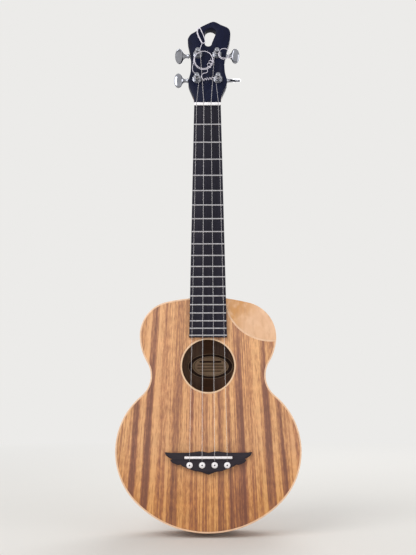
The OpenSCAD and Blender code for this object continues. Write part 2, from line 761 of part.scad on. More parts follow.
// A section as [origin y, z, tilt, half width, depth, roundness]
function flat_station(w, depth, round) = [0, -w, 0, board_half(w), depth, round];
into_body = 4;
function heel_station(a) =
    let (w = body_top - heel_len + heel_sweep * sin(a), d = shaft_depth(body_top - heel_len))
    flat_station(w, d + (heel_depth - d) * (1 - cos(a)), shaft_round + (heel_round - shaft_round) * sin(a));
function head_station(q, half, depth, round) =
    [q * sin(head_tilt), nut_len + q * cos(head_tilt), head_tilt, half, depth, round];
neck_stations = concat(
    [flat_station(body_top + into_body, heel_depth, heel_round)],
    [for (k = [heel_steps:-1:0]) heel_station(90 * k / heel_steps)],
    [for (k = [shaft_stations - 1:-1:0]) let (w = (body_top - heel_len) * k / shaft_stations)
        flat_station(w, shaft_depth(w), shaft_round)],
    [[0, nut_len, head_tilt / 2, throat[0].x, neck_depth_nut, shaft_round],
     head_station(head_join / 3, (2 * throat[0].x + throat[2].x) / 3, neck_depth_nut - 0.6, 3.4),
     head_station(2 * head_join / 3, throat[1].x, (neck_depth_nut + head_t) / 2 + 0.6, 5.5),
     head_station(head_join, throat[2].x, head_t, square_end)]);
function bulge(v, round) = sign(v) * pow(abs(v), 2 / round);
function section(s) = [for (k = [0:section_steps])
    let (a = 180 * k / section_steps, y = min(s[4] * bulge(sin(a), s[5]), heel_floor))
    [s[3] * bulge(-cos(a), s[5]), s[0] + y * cos(s[2]), s[1] - y * sin(s[2])]];
module neck_loft() {
    n = section_steps + 1;
    last = len(neck_stations) - 1;
    points = [for (s = neck_stations) each section(s)];
    walls = [for (i = [0:last - 1], k = [0:n - 1])
        let (a = i * n + k, b = i * n + (k + 1) % n) each [[a, b, b + n], [a, b + n, a + n]]];
    ends = [[for (k = [n - 1:-1:0]) k], [for (k = [0:n - 1]) last * n + k]];
    polyhedron(points, concat(walls, ends), convexity = 6);
}
// The round end of the body, which the heel is cut to fit
module crest_bar(y0) { bar_y(0, body_top + crest_r, y0, deepest, 2 * (crest_r + glue), $fn = 360); }
module neck() {
    color("saddlebrown") difference() {
        neck_loft();
        crest_bar(-1);
        dowel_holes();
    }
}
function cap_half(w, depth) = board_half(w) * pow(1 - pow(heel_floor / depth, heel_round), 1 / heel_round);
module heel_cap() {
    from = body_top - heel_cap_len;
    half = cap_half(body_top, heel_depth);
    color("wheat") difference() {
        slab(heel_floor + glue, depth_neck) polygon(concat(
            [[half, -body_top - into_body]],
            [for (a = [0:10:180]) [half * cos(a), -from - heel_cap_len / 2 + heel_cap_len / 2 * sin(a)]],
            [[-half, -body_top - into_body]]));
        crest_bar(0);
    }
}
// Tang of a fret, from a height above the glue plane down into the board
module tang_bar(n, half, top) {
    span(half, -top, -board_t + tang_depth, fret_at(n) - tang_w / 2, fret_at(n) + tang_w / 2);
}
module fretboard() {
    color([0.14, 0.13, 0.15]) difference() {
        slab(-board_t, 0) polygon([
            [-board_half(0), 0], [board_half(0), 0],
            [board_half(board_end), -board_end], [-board_half(board_end), -board_end]]);
        for (n = frets_used) tang_bar(n, reach, board_t + 1);
    }
}
module frets() {
    color("silver") for (n = frets_used) {
        half = board_half(fret_at(n)) - fret_end_gap;
        intersection() {
            union() {
                translate([-half, -board_t, -fret_at(n)]) rotate([0, 90, 0])
                    cylinder(d = fret_w, h = 2 * half);
                tang_bar(n, half, board_t);
            }
            union() {
                span(half, -board_t - fret_w, -board_t, fret_at(n) - fret_w, fret_at(n) + fret_w);
                tang_bar(n, half, board_t);
            }
        }
    }
}
module nut() {
    color("ivory") difference() {
        span(board_w_nut / 2, -nut_top, 0, -nut_len, 0);
        for (i = strings) translate([nut_x(i), 0, 0])
            span(string_d[i] / 2 + glue, -nut_top - 1, -nut_floor, -nut_len - 1, 1);
    }
}
module headstock() {
    color([0.1, 0.11, 0.17]) difference() {
        head_slab(0, head_t) difference() {
            intersection() {
                head_shape();
                translate([-reach, head_join + glue]) square(2 * reach);
            }
            head_window();
        }
        for (i = strings) at_tuner(i) {
            post_bar(-head_t - 1, 1, bushing_d + 2 * glue);
            translate([0, head_t - screw_len + ear_t - glue, -ear_out]) rotate([-90, 0, 0])
                cylinder(d = screw_d + 2 * glue, h = screw_len);
        }
    }
}
module headstock_overlay() {
    color([0.09, 0.1, 0.16]) difference() {
        head_slab(-overlay_t, 0) difference() {
            head_shape();
            head_window();
        }
        for (i = strings) at_tuner(i) post_bar(-1, overlay_t + 1, bushing_d + 2 * glue);
        span(reach, -nut_top, head_t, -nut_len - glue, 0);
    }
}

// Half of the bridge's outline as [x, distance behind the saddle]
wing_tip = 52.8;
bridge_half = [[0, -5.3], [6, -6.6], [11, -7.1], [17, -6.1], [24, -5.4], [45, -5.3], [wing_tip, -6],
    [51.4, -2.4], [47.6, 0.4], [43.5, 1.8], [46, 3.8], [43.2, 6.6], [37.3, 8.9], [33.4, 8.6],
    [30.6, 10.6], [22, 14.1], [16, 16.2], [8.2, 17.3], [3, 19.4], [0, 20.5]];
wing_from = 31;
module bridge_shape() {
    half = [for (p = bridge_half) [p.x, -saddle_at - p.y]];
    polygon(concat(half, mirrored(rest(back_to_front(rest(half))))));
}
saddle_room = saddle_t / 2 + glue;
module string_ramps() {
    slope = crest_bow(1)[0] - drop_point;
    foot = drop_point + slot_half * [slope.y, -slope.x] / norm(slope);
    over = bridge_t + 1;
    ramp = [foot, [-pin_at, foot.y], [-pin_at, over], [foot.x + (over - foot.y) * slope.x / slope.y, over]];
    for (i = strings) translate([saddle_x(i) - slot_half, 0, 0]) rotate([90, 0, 90])
        linear_extrude(2 * slot_half) polygon([for (p = ramp) [-p.y, p.x]]);
}
module bridge() {
    color([0.13, 0.11, 0.12]) difference() {
        intersection() {
            slab(-bridge_t, 0) bridge_shape();
            translate([0, 0, -saddle_at - reach]) linear_extrude(2 * reach) polygon([
                [-wing_tip - 1, 0], [-wing_tip - 1, -wing_t], [-wing_from, -bridge_t],
                [wing_from, -bridge_t], [wing_tip + 1, -wing_t], [wing_tip + 1, 0]]);
        }
        span(saddle_len / 2 + glue, -bridge_t - 1, -bridge_t + saddle_slot, saddle_at - saddle_room,
            saddle_at + saddle_room);
        pin_holes(-bridge_t - 1, 1);
        string_ramps();
    }
}
module saddle() {
    color("ivory") union() {
        span(saddle_len / 2, -crest_h, -bridge_t + saddle_slot,
            saddle_at - saddle_t / 2, saddle_at + saddle_t / 2);
        translate([-saddle_len / 2, -crest_h, -saddle_at]) rotate([0, 90, 0])
            cylinder(d = saddle_t, h = saddle_len);
    }
}
pin_head_t = 2.6;
pin_tip_d = pin_d - pin_taper;
dot_t = 0.6;
// A pin's own frame has its head along +z and the bridge's face at z = 0
module at_pin(i) { translate([saddle_x(i), -bridge_t, -pin_at]) rotate([90, 0, 0]) children(); }
module bridge_pins() {
    head_r = pin_head_d / 2;
    color("ivory") for (i = strings) at_pin(i) difference() {
        union() {
            translate([0, 0, -pin_len]) cylinder(d1 = pin_tip_d, d2 = pin_d, h = pin_len);
            cylinder(d = pin_head_d, h = 0.8);
            translate([0, 0, 0.8]) intersection() {
                scale_r = (head_r * head_r + pow(pin_head_t - 0.8, 2)) / (2 * (pin_head_t - 0.8));
                translate([0, 0, pin_head_t - 0.8 - scale_r]) sphere(r = scale_r);
                cylinder(d = pin_head_d, h = pin_head_t);
            }
        }
        translate([0, 0, pin_head_t - dot_t]) cylinder(d = pin_dot_d + 2 * glue, h = 1);
    }
}
module pin_dots() {
    color([0.1, 0.1, 0.1]) for (i = strings) at_pin(i)
        translate([0, 0, pin_head_t - dot_t]) cylinder(d = pin_dot_d, h = dot_t);
}

module taut_string(i) {
    p = string_run(i);
    echo(str("string_", i + 1, " least gap of its turns"),
        least_gap(winding(i), string_d[i], turn_rings / 2));
    color("gainsboro") tube(p, string_bore(i));
}

module tuner_bushings() {
    color("silver") for (i = strings) at_tuner(i) difference() {
        union() {
            post_bar(-head_t, overlay_t + washer_t + 0.1, bushing_d);
            translate([0, -overlay_t - washer_t, 0]) rotate([90, 0, 0])
                cylinder(d = hex_w / cos(30), h = hex_t, $fn = 6);
        }
        post_bar(-head_t - 1, face_h + 1, post_d + 2 * running);
    }
}
module tuner_washers() {
    color("silver") for (i = strings) at_tuner(i) difference() {
        post_bar(overlay_t, overlay_t + washer_t, washer_d);
        post_bar(0, overlay_t + washer_t + 1, bushing_d + 2 * glue);
    }
}
module case_shape(grow) {
    circle(r = case_r + grow);
    translate([-worm_half - case_wall - grow, 0])
        square([2 * (worm_half + case_wall + grow), centres + worm_room + case_wall + grow]);
}
module tuner_cases() {
    color("silver") for (i = strings) at_tuner(i) difference() {
        union() {
            slab(head_t, head_t + case_depth) case_shape(0);
            shaft_bar(0, worm_half + case_wall + neck_out, neck_d);
            translate([0, head_t, -ear_out]) rotate([-90, 0, 0]) cylinder(d = ear_d, h = ear_t);
            translate([-ear_d / 2, head_t, -ear_out]) cube([ear_d, ear_t, ear_out]);
        }
        post_bar(-head_t - case_depth + case_wall, -head_t + 1, 2 * (case_r - case_wall));
        shaft_bar(-worm_half - 0.2, worm_half + 0.2, 2 * worm_room);
        shaft_bar(0, worm_half + case_wall + neck_out + 1, shaft_d + 2 * running);
        translate([0, head_t - 1, -ear_out]) rotate([-90, 0, 0])
            cylinder(d = screw_d + 2 * glue, h = ear_t + 2);
    }
}
// A screw's own frame has its shank along +z from the face of the case's ear
module at_screw(i) { at_tuner(i) translate([0, head_t + ear_t, -ear_out]) rotate([90, 0, 0]) children(); }
module tuner_screws() {
    color("silver") for (i = strings) at_screw(i) {
        cylinder(d = screw_d, h = screw_len - 2 * glue);
        translate([0, 0, -screw_head_h])
            cylinder(d1 = screw_head_d - screw_head_taper, d2 = screw_head_d, h = screw_head_h);
    }
}
module tuner_post(i) {
    color("silver") at_tuner(i) difference() {
        union() {
            post_bar(-gear_mid + gear_t / 2, winding_h, post_d);
            post_bar(-gear_mid - gear_t / 2, -gear_mid + gear_t, gear_seat_d);
            post_bar(-gear_mid - gear_t / 2 - rivet_t, -gear_mid - gear_t / 2, rivet_d);
            post_bar(winding_h, cap_h, post_neck_d);
            post_bar(cap_h, post_top - post_edge, post_d);
            translate([0, -post_top + post_edge, 0]) rotate([90, 0, 0])
                cylinder(d1 = post_d, d2 = post_d - 2, h = post_edge);
        }
        translate([0, -cap_h + 1, -post_d]) cylinder(d = post_hole_d, h = 2 * post_d);
    }
}
tooth_pitch_half = 0.56 * gear_module;
tooth_tip_half = 0.34 * gear_module;
tooth_root_half = 0.95 * gear_module;
tooth_flank = [[tooth_root_half, -tooth_in], [tooth_pitch_half, 0], [tooth_tip_half, tooth_out]];
function tooth(a) = [for (p = concat(tooth_flank, mirrored(back_to_front(tooth_flank))))
    [(pitch_r + p.y) * sin(a) + p.x * cos(a), (pitch_r + p.y) * cos(a) - p.x * sin(a)]];
module tuner_gear(i) {
    color("goldenrod") at_tuner(i) difference() {
        slab(gear_mid - gear_t / 2, gear_mid + gear_t / 2)
            polygon([for (k = [gear_teeth - 1:-1:0]) each tooth(360 * k / gear_teeth)]);
        post_bar(-gear_mid - gear_t, -gear_mid + gear_t, gear_seat_d + 2 * glue);
    }
}
// Worm: one helical thread on a core, turned so that a gap faces the gear's top tooth
thread_rings = 18;
core_d = worm_d - 2 * tooth_in;
thread_pitch_half = 0.55 * gear_module;
thread_tip_half = 0.3 * gear_module;
thread_root_half = 0.95 * gear_module;
function thread_ring(t) =
    let (a = 360 * t - 90, x = (t - worm_turns / 2) * worm_pitch + worm_pitch / 2)
    [for (p = [[-thread_root_half, core_d / 2 - 0.3], [-thread_tip_half, worm_d / 2 + tooth_out],
        [thread_tip_half, worm_d / 2 + tooth_out], [thread_root_half, core_d / 2 - 0.3]])
        [x + p.x, p.y * cos(a), p.y * sin(a)]];
module thread() {
    last = round((worm_turns - 1) * thread_rings);
    points = [for (k = [0:last]) each thread_ring(k / thread_rings)];
    walls = [for (k = [0:last - 1], j = [0:3])
        let (a = 4 * k + j, b = 4 * k + (j + 1) % 4) each [[a, b, b + 4], [a, b + 4, a + 4]]];
    polyhedron(points, concat(walls, [[2, 1, 0], [3, 2, 0]],
        [[4 * last, 4 * last + 1, 4 * last + 2], [4 * last, 4 * last + 2, 4 * last + 3]]), convexity = 10);
}
module tuner_worm(i) {
    color("goldenrod") at_tuner(i) union() {
        shaft_bar(-worm_half, worm_half, core_d);
        shaft_bar(worm_half, button_from + button_len - 2, shaft_d);
        translate([0, gear_mid, centres]) thread();
    }
}
// Button: an oval plate with softened faces, flaring out of a tapered stem
button_edge = 2.2;
button_soft = 1.6;
flare_len = 3.4;
flare_in = 2.4;
flare_w = 0.56 * button_w;
flare_t = button_t - 0.6;
module oval(w, l) { polygon([for (a = [0:10:359]) [l / 2 * cos(a), w / 2 * sin(a)]]); }
module button_plate() {
    translate([button_from + button_len / 2, 0, 0]) hull() {
        translate([0, 0, -button_edge / 2]) linear_extrude(button_edge) oval(button_w, button_len);
        translate([0, 0, -button_t / 2]) linear_extrude(button_t)
            oval(button_w - 2 * button_soft, button_len - 2 * button_soft);
    }
}
module button_flare() {
    hull() {
        translate([button_from - flare_len, 0, 0]) rotate([0, 90, 0])
            cylinder(d = shaft_d + 1.2, h = 0.2, $fn = 24);
        translate([button_from + flare_in, 0, 0]) rotate([0, 90, 0]) linear_extrude(0.2)
            scale([flare_t / flare_w, 1]) circle(d = flare_w, $fn = 24);
    }
}
// A button's own frame has its shaft along +x
module at_button(i) {
    at_tuner(i) translate([0, gear_mid, centres]) rotate([90 + button_turn[i], 0, 0]) children();
}
module tuner_button(i) {
    color("silver") at_button(i) difference() {
        union() {
            button_plate();
            button_flare();
            translate([stem_from, 0, 0]) rotate([0, 90, 0])
                cylinder(d1 = shaft_d + 2.6, d2 = shaft_d + 0.8, h = button_from + 2 - stem_from);
        }
        rotate([0, 90, 0]) cylinder(d = shaft_d + 2 * glue, h = button_from + button_len - 2 + glue);
    }
}
// The free end of a string, past the last turn on its post
function tail_start(i) =
    let (n = winding_turns[i] + tail_break, a = touch_turn(i) - tuner_side[i] * 360 * n)
    [tuner_x[i] + winding_r(i) * cos(a), winding_start + winding_pitch * n,
     tuner_at[i] + winding_r(i) * sin(a)];
function tail_route(i) =
    i == 0 ? concat(curve(concat([tail_start(0)], tail_lead, [wide_loop[0]]), tail_steps), rest(wide_loop)) :
    i == 1 ? curve(concat([tail_start(1)], tail_leaf), tail_steps) :
    i == 2 ? concat([tail_start(2)], rest(round_loop),
        rest(curve(concat([round_loop[len(round_loop) - 1]], tail_out), tail_steps))) :
    concat([tail_start(3)], tight_curls,
        rest(curve(concat([tight_curls[len(tight_curls) - 1]], tail_rise, [wide_curls[0]]), tail_steps)),
        rest(wide_curls));
function tail_run(i) = [for (p = tail_route(i)) head_point(p.x, p.y, p.z)];
module string_tail(i) {
    p = tail_run(i);
    echo(str("string_tail_", i + 1, " least gap"), least_gap(p, string_d[i], curl_rings / 2));
    color("gainsboro") tube(p, [for (k = p) string_d[i]]);
}

single_nodes = ["soundboard", "soundhole_ring", "top_binding", "back_binding", "back_plate", "side_bass",
    "side_treble", "top_lining", "back_lining", "neck_block", "tail_block", "neck_dowels", "top_braces",
    "bridge_plate", "back_braces", "back_strip", "label", "cutaway_bevel", "bevel_binding", "bevel_block",
    "neck", "heel_cap", "fretboard", "frets", "nut", "headstock", "headstock_overlay", "bridge", "saddle",
    "bridge_pins", "pin_dots", "tuner_bushings", "tuner_washers", "tuner_cases", "tuner_screws"];
numbered_nodes = ["string_", "string_tail_", "tuner_post_", "tuner_gear_", "tuner_worm_", "tuner_button_"];

soundboard();
soundhole_ring();
top_binding();
back_binding();
back_plate();
side_bass();
side_treble();
top_lining();
back_lining();
neck_block();
tail_block();
neck_dowels();
top_braces();
bridge_plate();
back_braces();
back_strip();
label();
cutaway_bevel();
bevel_binding();
bevel_block();
neck();
heel_cap();
fretboard();
frets();
nut();
headstock();
headstock_overlay();
bridge();
saddle();
bridge_pins();
pin_dots();
tuner_bushings();
tuner_washers();
tuner_cases();
tuner_screws();
for (i = strings) {
    taut_string(i);
    string_tail(i);
    tuner_post(i);
    tuner_gear(i);
    tuner_worm(i);
    tuner_button(i);
}
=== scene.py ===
import json
import math

import bpy
from mathutils import Matrix, Vector

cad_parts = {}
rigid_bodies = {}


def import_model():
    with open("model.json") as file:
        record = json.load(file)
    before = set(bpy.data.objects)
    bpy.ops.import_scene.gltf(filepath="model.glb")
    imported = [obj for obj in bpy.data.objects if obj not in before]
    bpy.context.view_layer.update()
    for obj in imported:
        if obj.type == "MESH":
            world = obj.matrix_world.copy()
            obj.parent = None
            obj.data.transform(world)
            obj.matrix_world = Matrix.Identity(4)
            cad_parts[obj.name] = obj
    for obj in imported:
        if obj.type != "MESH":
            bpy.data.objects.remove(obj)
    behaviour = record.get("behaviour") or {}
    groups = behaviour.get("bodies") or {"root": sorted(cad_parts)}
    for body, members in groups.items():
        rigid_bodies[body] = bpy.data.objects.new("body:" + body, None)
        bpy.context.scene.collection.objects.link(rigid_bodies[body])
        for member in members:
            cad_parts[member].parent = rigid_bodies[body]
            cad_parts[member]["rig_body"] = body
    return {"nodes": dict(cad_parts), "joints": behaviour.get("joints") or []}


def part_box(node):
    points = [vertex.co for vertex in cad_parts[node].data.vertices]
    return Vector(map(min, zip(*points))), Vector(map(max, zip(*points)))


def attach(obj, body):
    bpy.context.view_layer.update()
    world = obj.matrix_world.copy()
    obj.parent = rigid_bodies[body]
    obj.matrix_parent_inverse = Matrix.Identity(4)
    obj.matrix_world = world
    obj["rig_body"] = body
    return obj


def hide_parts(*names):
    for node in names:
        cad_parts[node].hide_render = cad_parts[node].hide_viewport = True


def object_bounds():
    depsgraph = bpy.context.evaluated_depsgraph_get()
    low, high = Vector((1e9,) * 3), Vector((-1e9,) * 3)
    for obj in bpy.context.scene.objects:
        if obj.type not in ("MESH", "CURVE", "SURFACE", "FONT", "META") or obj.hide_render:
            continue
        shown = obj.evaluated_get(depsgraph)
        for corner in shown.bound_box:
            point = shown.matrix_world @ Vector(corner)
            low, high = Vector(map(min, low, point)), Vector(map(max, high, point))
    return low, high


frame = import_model()
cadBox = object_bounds()
nodes = frame["nodes"]
joints = {joint["name"]: joint for joint in frame["joints"]}
rootBody = "instrument"
stringCount = 4
mm = 0.001
print("frame loaded:", len(nodes), "nodes")


def srgb(red, green, blue):
    # screen colour, 0 to 255, to the linear value that a shader socket takes
    def linear(v):
        v = v / 255
        return v / 12.92 if v <= 0.04045 else ((v + 0.055) / 1.055) ** 2.4
    return (linear(red), linear(green), linear(blue), 1.0)


# camera at the photograph's angle: metres, degrees and mm of lens
cameraSet = {"place": (0.0001, -1.1755, -0.33985), "pitch": 6.0, "roll": -0.15,
             "lens": 62.08, "clip": (0.02, 60)}


def addCamera(s):
    bpy.ops.object.camera_add(location=s["place"])
    cam = bpy.context.object
    cam.name = "photoCamera"
    pitched = Matrix.Rotation(math.radians(90 + s["pitch"]), 4, "X")
    cam.rotation_euler = (pitched @ Matrix.Rotation(math.radians(s["roll"]), 4, "Z")).to_euler()
    cam.data.lens = s["lens"]
    cam.data.clip_start, cam.data.clip_end = s["clip"]
    bpy.context.scene.camera = cam


addCamera(cameraSet)
bpy.context.scene.view_settings.view_transform = "Standard"
print("camera set")


# helpers that build shader nodes
def feed(tree, socket, value):
    # the output of another node is linked, a number or colour is set
    if isinstance(value, bpy.types.NodeSocket):
        tree.links.new(value, socket)
    else:
        socket.default_value = value


def addNode(tree, kind, inputs=None, **props):
    node = tree.nodes.new("ShaderNode" + kind)
    for key, value in props.items():
        setattr(node, key, value)
    for key, value in (inputs or {}).items():
        feed(tree, node.inputs[key], value)
    return node


def mathNode(tree, operation, a, b=0.0, c=0.0):
    return addNode(tree, "Math", {0: a, 1: b, 2: c}, operation=operation).outputs[0]


def times(tree, a, b):
    return mathNode(tree, "MULTIPLY", a, b)


def plus(tree, a, b):
    return mathNode(tree, "ADD", a, b)


def remap(tree, value, low, high, toLow=0.0, toHigh=1.0):
    return addNode(tree, "MapRange", {"Value": value, "From Min": low, "From Max": high,
                                      "To Min": toLow, "To Max": toHigh}).outputs["Result"]


def noise(tree, vector, scale, detail, rough, twist=0.0):
    return addNode(tree, "TexNoise", {"Vector": vector, "Scale": scale, "Detail": detail,
                                      "Roughness": rough, "Distortion": twist}).outputs["Fac"]


def patches(tree, vector, s):
    # noise of a given detail and roughness, spread from one range of values over another
    return remap(tree, noise(tree, vector, 1.0, *s["noise"]), *s["from"], *s["to"])


def mixColour(tree, factor, a, b, blend="MIX"):
    # sockets 6 and 7 of a Mix node are its colours, and output 2 is the mixed one
    return addNode(tree, "Mix", {0: factor, 6: a, 7: b}, data_type="RGBA", blend_type=blend).outputs[2]


def objectCoords(tree, stretch=(1, 1, 1), turn=(0, 0, 0)):
    coords = addNode(tree, "TexCoord").outputs["Object"]
    mapping = addNode(tree, "Mapping", {"Vector": coords, "Scale": stretch, "Rotation": turn})
    return mapping.outputs["Vector"]


def objectAxes(tree):
    return addNode(tree, "SeparateXYZ", {0: addNode(tree, "TexCoord").outputs["Object"]}).outputs


def newGroup(name, inputs, outputs):
    group = bpy.data.node_groups.new(name, "ShaderNodeTree")
    for way, sockets in (("INPUT", inputs), ("OUTPUT", outputs)):
        for label, kind in sockets.items():
            group.interface.new_socket(name=label, in_out=way, socket_type="NodeSocket" + kind)
    return group, group.nodes.new("NodeGroupInput").outputs, group.nodes.new("NodeGroupOutput").inputs


# shared wood grain; each noise has a scale, detail, roughness and twist
grainSet = {"fibre": (1.0, 8.0, 0.62, 0.15), "fibreHeight": 0.5,
            "pore": (2.6, 2.0, 0.5, 0.0), "poreRange": (0.62, 0.72), "poreDepth": 0.7}


def makeGrainGroup(s):
    # fibres and pores along the long axis of a vector that is already stretched
    group, given, result = newGroup("woodGrain", {"Vector": "Vector"},
                                    {"Fibre": "Float", "Pore": "Float", "Height": "Float"})
    fibre = noise(group, given["Vector"], *s["fibre"])
    pore = remap(group, noise(group, given["Vector"], *s["pore"]), *s["poreRange"])
    raised, sunk = times(group, fibre, s["fibreHeight"]), times(group, pore, s["poreDepth"])
    height = mathNode(group, "SUBTRACT", raised, sunk)
    for label, value in (("Fibre", fibre), ("Pore", pore), ("Height", height)):
        group.links.new(value, result[label])
    return group


# shared gloss; each noise has a scale, detail and roughness
handledSet = {"cloudy": (38.0, 5.0, 0.6), "rubbed": (900.0, 3.0, 0.7),
              "rubbedShare": 0.25, "range": (0.3, 0.7)}


def makeHandledGroup(s):
    # uneven gloss of a handled surface, with faint rubbing marks
    group, given, result = newGroup("handledGloss", {"Vector": "Vector", "Low": "Float", "High": "Float"},
                                    {"Roughness": "Float", "Height": "Float"})
    cloudy, rubbed = (noise(group, given["Vector"], *s[kind]) for kind in ("cloudy", "rubbed"))
    both = plus(group, times(group, cloudy, 1 - s["rubbedShare"]), times(group, rubbed, s["rubbedShare"]))
    group.links.new(remap(group, both, *s["range"], given["Low"], given["High"]), result["Roughness"])
    group.links.new(rubbed, result["Height"])
    return group


grainGroup = makeGrainGroup(grainSet)
handledGroup = makeHandledGroup(handledSet)


def newMaterial(name, settings):
    mat = bpy.data.materials.new(name)
    mat.use_nodes = True
    shader = mat.node_tree.nodes["Principled BSDF"]
    for socket, value in settings.items():
        shader.inputs[socket].default_value = value
    return mat, mat.node_tree, shader


def addBump(tree, shader, height, strength, distance):
    bump = addNode(tree, "Bump", {"Height": height, "Strength": strength, "Distance": distance})
    tree.links.new(bump.outputs["Normal"], shader.inputs["Normal"])


def addGrain(tree, vector):
    return addNode(tree, "Group", {"Vector": vector}, node_tree=grainGroup).outputs


def setGloss(tree, shader, low, high):
    gloss = addNode(tree, "Group", {"Vector": objectCoords(tree), "Low": low, "High": high},
                    node_tree=handledGroup)
    tree.links.new(gloss.outputs["Roughness"], shader.inputs["Roughness"])
    return gloss.outputs["Height"]


# striped boards of the top and back, nearly bookmatched about the centre seam
stripedBoards = {
    "shader": {"Coat Weight": 0.1, "Coat Roughness": 0.28, "Specular IOR Level": 0.4},
    "gloss": (0.38, 0.54), "bump": (0.2, 0.0002),
    "tones": [(0.0, srgb(227, 174, 122)), (0.3, srgb(198, 143, 98)),
              (0.62, srgb(162, 112, 83)), (1.0, srgb(128, 85, 68))],
    "blush": srgb(236, 226, 240), "pore": srgb(84, 54, 44), "poreShare": 0.45,
    # the bands fan out by spread for each metre down, are true to size at spreadAt, and end at reach
    "spread": 0.9, "spreadAt": -0.378, "reach": 0.125,
    # band: centre, half width, half of its flat middle and depth of colour, in mm from the seam
    "bass": [(0.2, 0.8, 0, 0.45), (9, 3.0, 0, 0.2), (19, 3.4, 0, 0.34), (38, 6.0, 2.0, 0.5),
             (52, 3.0, 0, 0.2), (71.5, 5.6, 2.4, 0.82), (86.5, 4.8, 1.9, 0.78), (104, 4.0, 0, 0.2)],
    "treble": [(0.2, 0.8, 0, 0.45), (14, 6.0, 2.4, 0.42), (25, 3.8, 0.8, 0.4), (38, 6.4, 2.6, 0.74),
               (52, 3.0, 0, 0.2), (71, 5.6, 2.2, 0.84), (86, 4.6, 1.6, 0.72), (104, 4.5, 0, 0.26)],
    # slow sideways wander of the bands, in metres
    "wander": {"stretch": (14, 0, 6), "noise": (3.0, 0.5), "from": (0.0, 1.0), "to": (-0.0035, 0.0035)},
    # streaks along the fan, and the tone that each gives
    "grain": (1500, 300, 60),
    "broken": {"stretch": (70, 10, 9), "noise": (4.0, 0.55), "from": (0.3, 0.7), "to": (0.7, 1.12)},
    "broad": {"stretch": (135, 30, 2.5), "noise": (4.0, 0.6), "from": (0.3, 0.72), "to": (-0.26, 0.6)},
    "fine": {"stretch": (620, 60, 7), "noise": (4.0, 0.65), "from": (0.35, 0.7), "to": (-0.22, 0.36)},
    "line": {"stretch": (330, 40, 3), "noise": (2.0, 0.5), "from": (0.64, 0.7), "to": (0.0, 0.3)},
    "speck": {"stretch": (520, 60, 110), "noise": (3.0, 0.6), "from": (0.35, 0.7), "to": (-0.2, 0.26)},
    "rosy": {"stretch": (34, 10, 4), "noise": (3.0, 0.5), "from": (0.42, 0.66), "to": (0.0, 0.5)},
    "sheen": {"stretch": (40, 10, 70), "noise": (3.0, 0.5), "from": (0.3, 0.7), "to": (0.9, 1.08)},
    # changes by height: from, to and the value at each; bands fade towards the neck, the wood is painted
    # paler there as painted sheen, and darker and deeper towards the tail as painted shade
    "strong": (-0.36, -0.3, 1.0, 0.5), "neckSheen": (-0.43, -0.3, 0.98, 1.05),
    "neckDeep": (-0.36, -0.26, 1.0, 0.97), "tailShade": (-0.45, -0.5, 1.0, 0.93),
    "tailDeep": (-0.42, -0.49, 1.0, 1.11),
    # darker below the bridge, in the same form: by height, by x on each side, by distance from the seam
    "low": (-0.43, -0.48, 0.0, 1.0), "lowBass": (-0.022, -0.03, 0.08, 0.22),
    "lowTreble": (0.004, 0.012, 0.0, 0.2), "lowWithin": (0.062, 0.044, 0.0, 1.0),
    # bare wood of the back as seen through the hole, darkened as painted shade inside the body, from this
    # depth in
    "inside": srgb(86, 53, 36), "insideFrom": 0.03, "insideShare": 0.8,
}


def bandRamp(tree, away, bands, reach):
    ramp = addNode(tree, "ValToRGB", {"Fac": mathNode(tree, "DIVIDE", away, reach)})
    stops = ramp.color_ramp
    stops.interpolation = "EASE"
    stops.elements[0].color = stops.elements[1].color = (0, 0, 0, 1)
    for centre, half, flat, depth in bands:
        middle = [(centre - flat, depth), (centre + flat, depth)] if flat else [(centre, depth)]
        for place, tone in [(centre - half, 0)] + middle + [(centre + half, 0)]:
            stops.elements.new(max(0.0, place * mm / reach)).color = (tone, tone, tone, 1)
    return ramp.outputs["Color"]


def toneRamp(tree, tone, tones):
    ramp = addNode(tree, "ValToRGB", {"Fac": tone})
    stops = ramp.color_ramp.elements
    stops[0].color, stops[1].color = tones[0][1], tones[-1][1]
    for place, colour in tones[1:-1]:
        stops.new(place).color = colour
    return ramp.outputs["Color"]


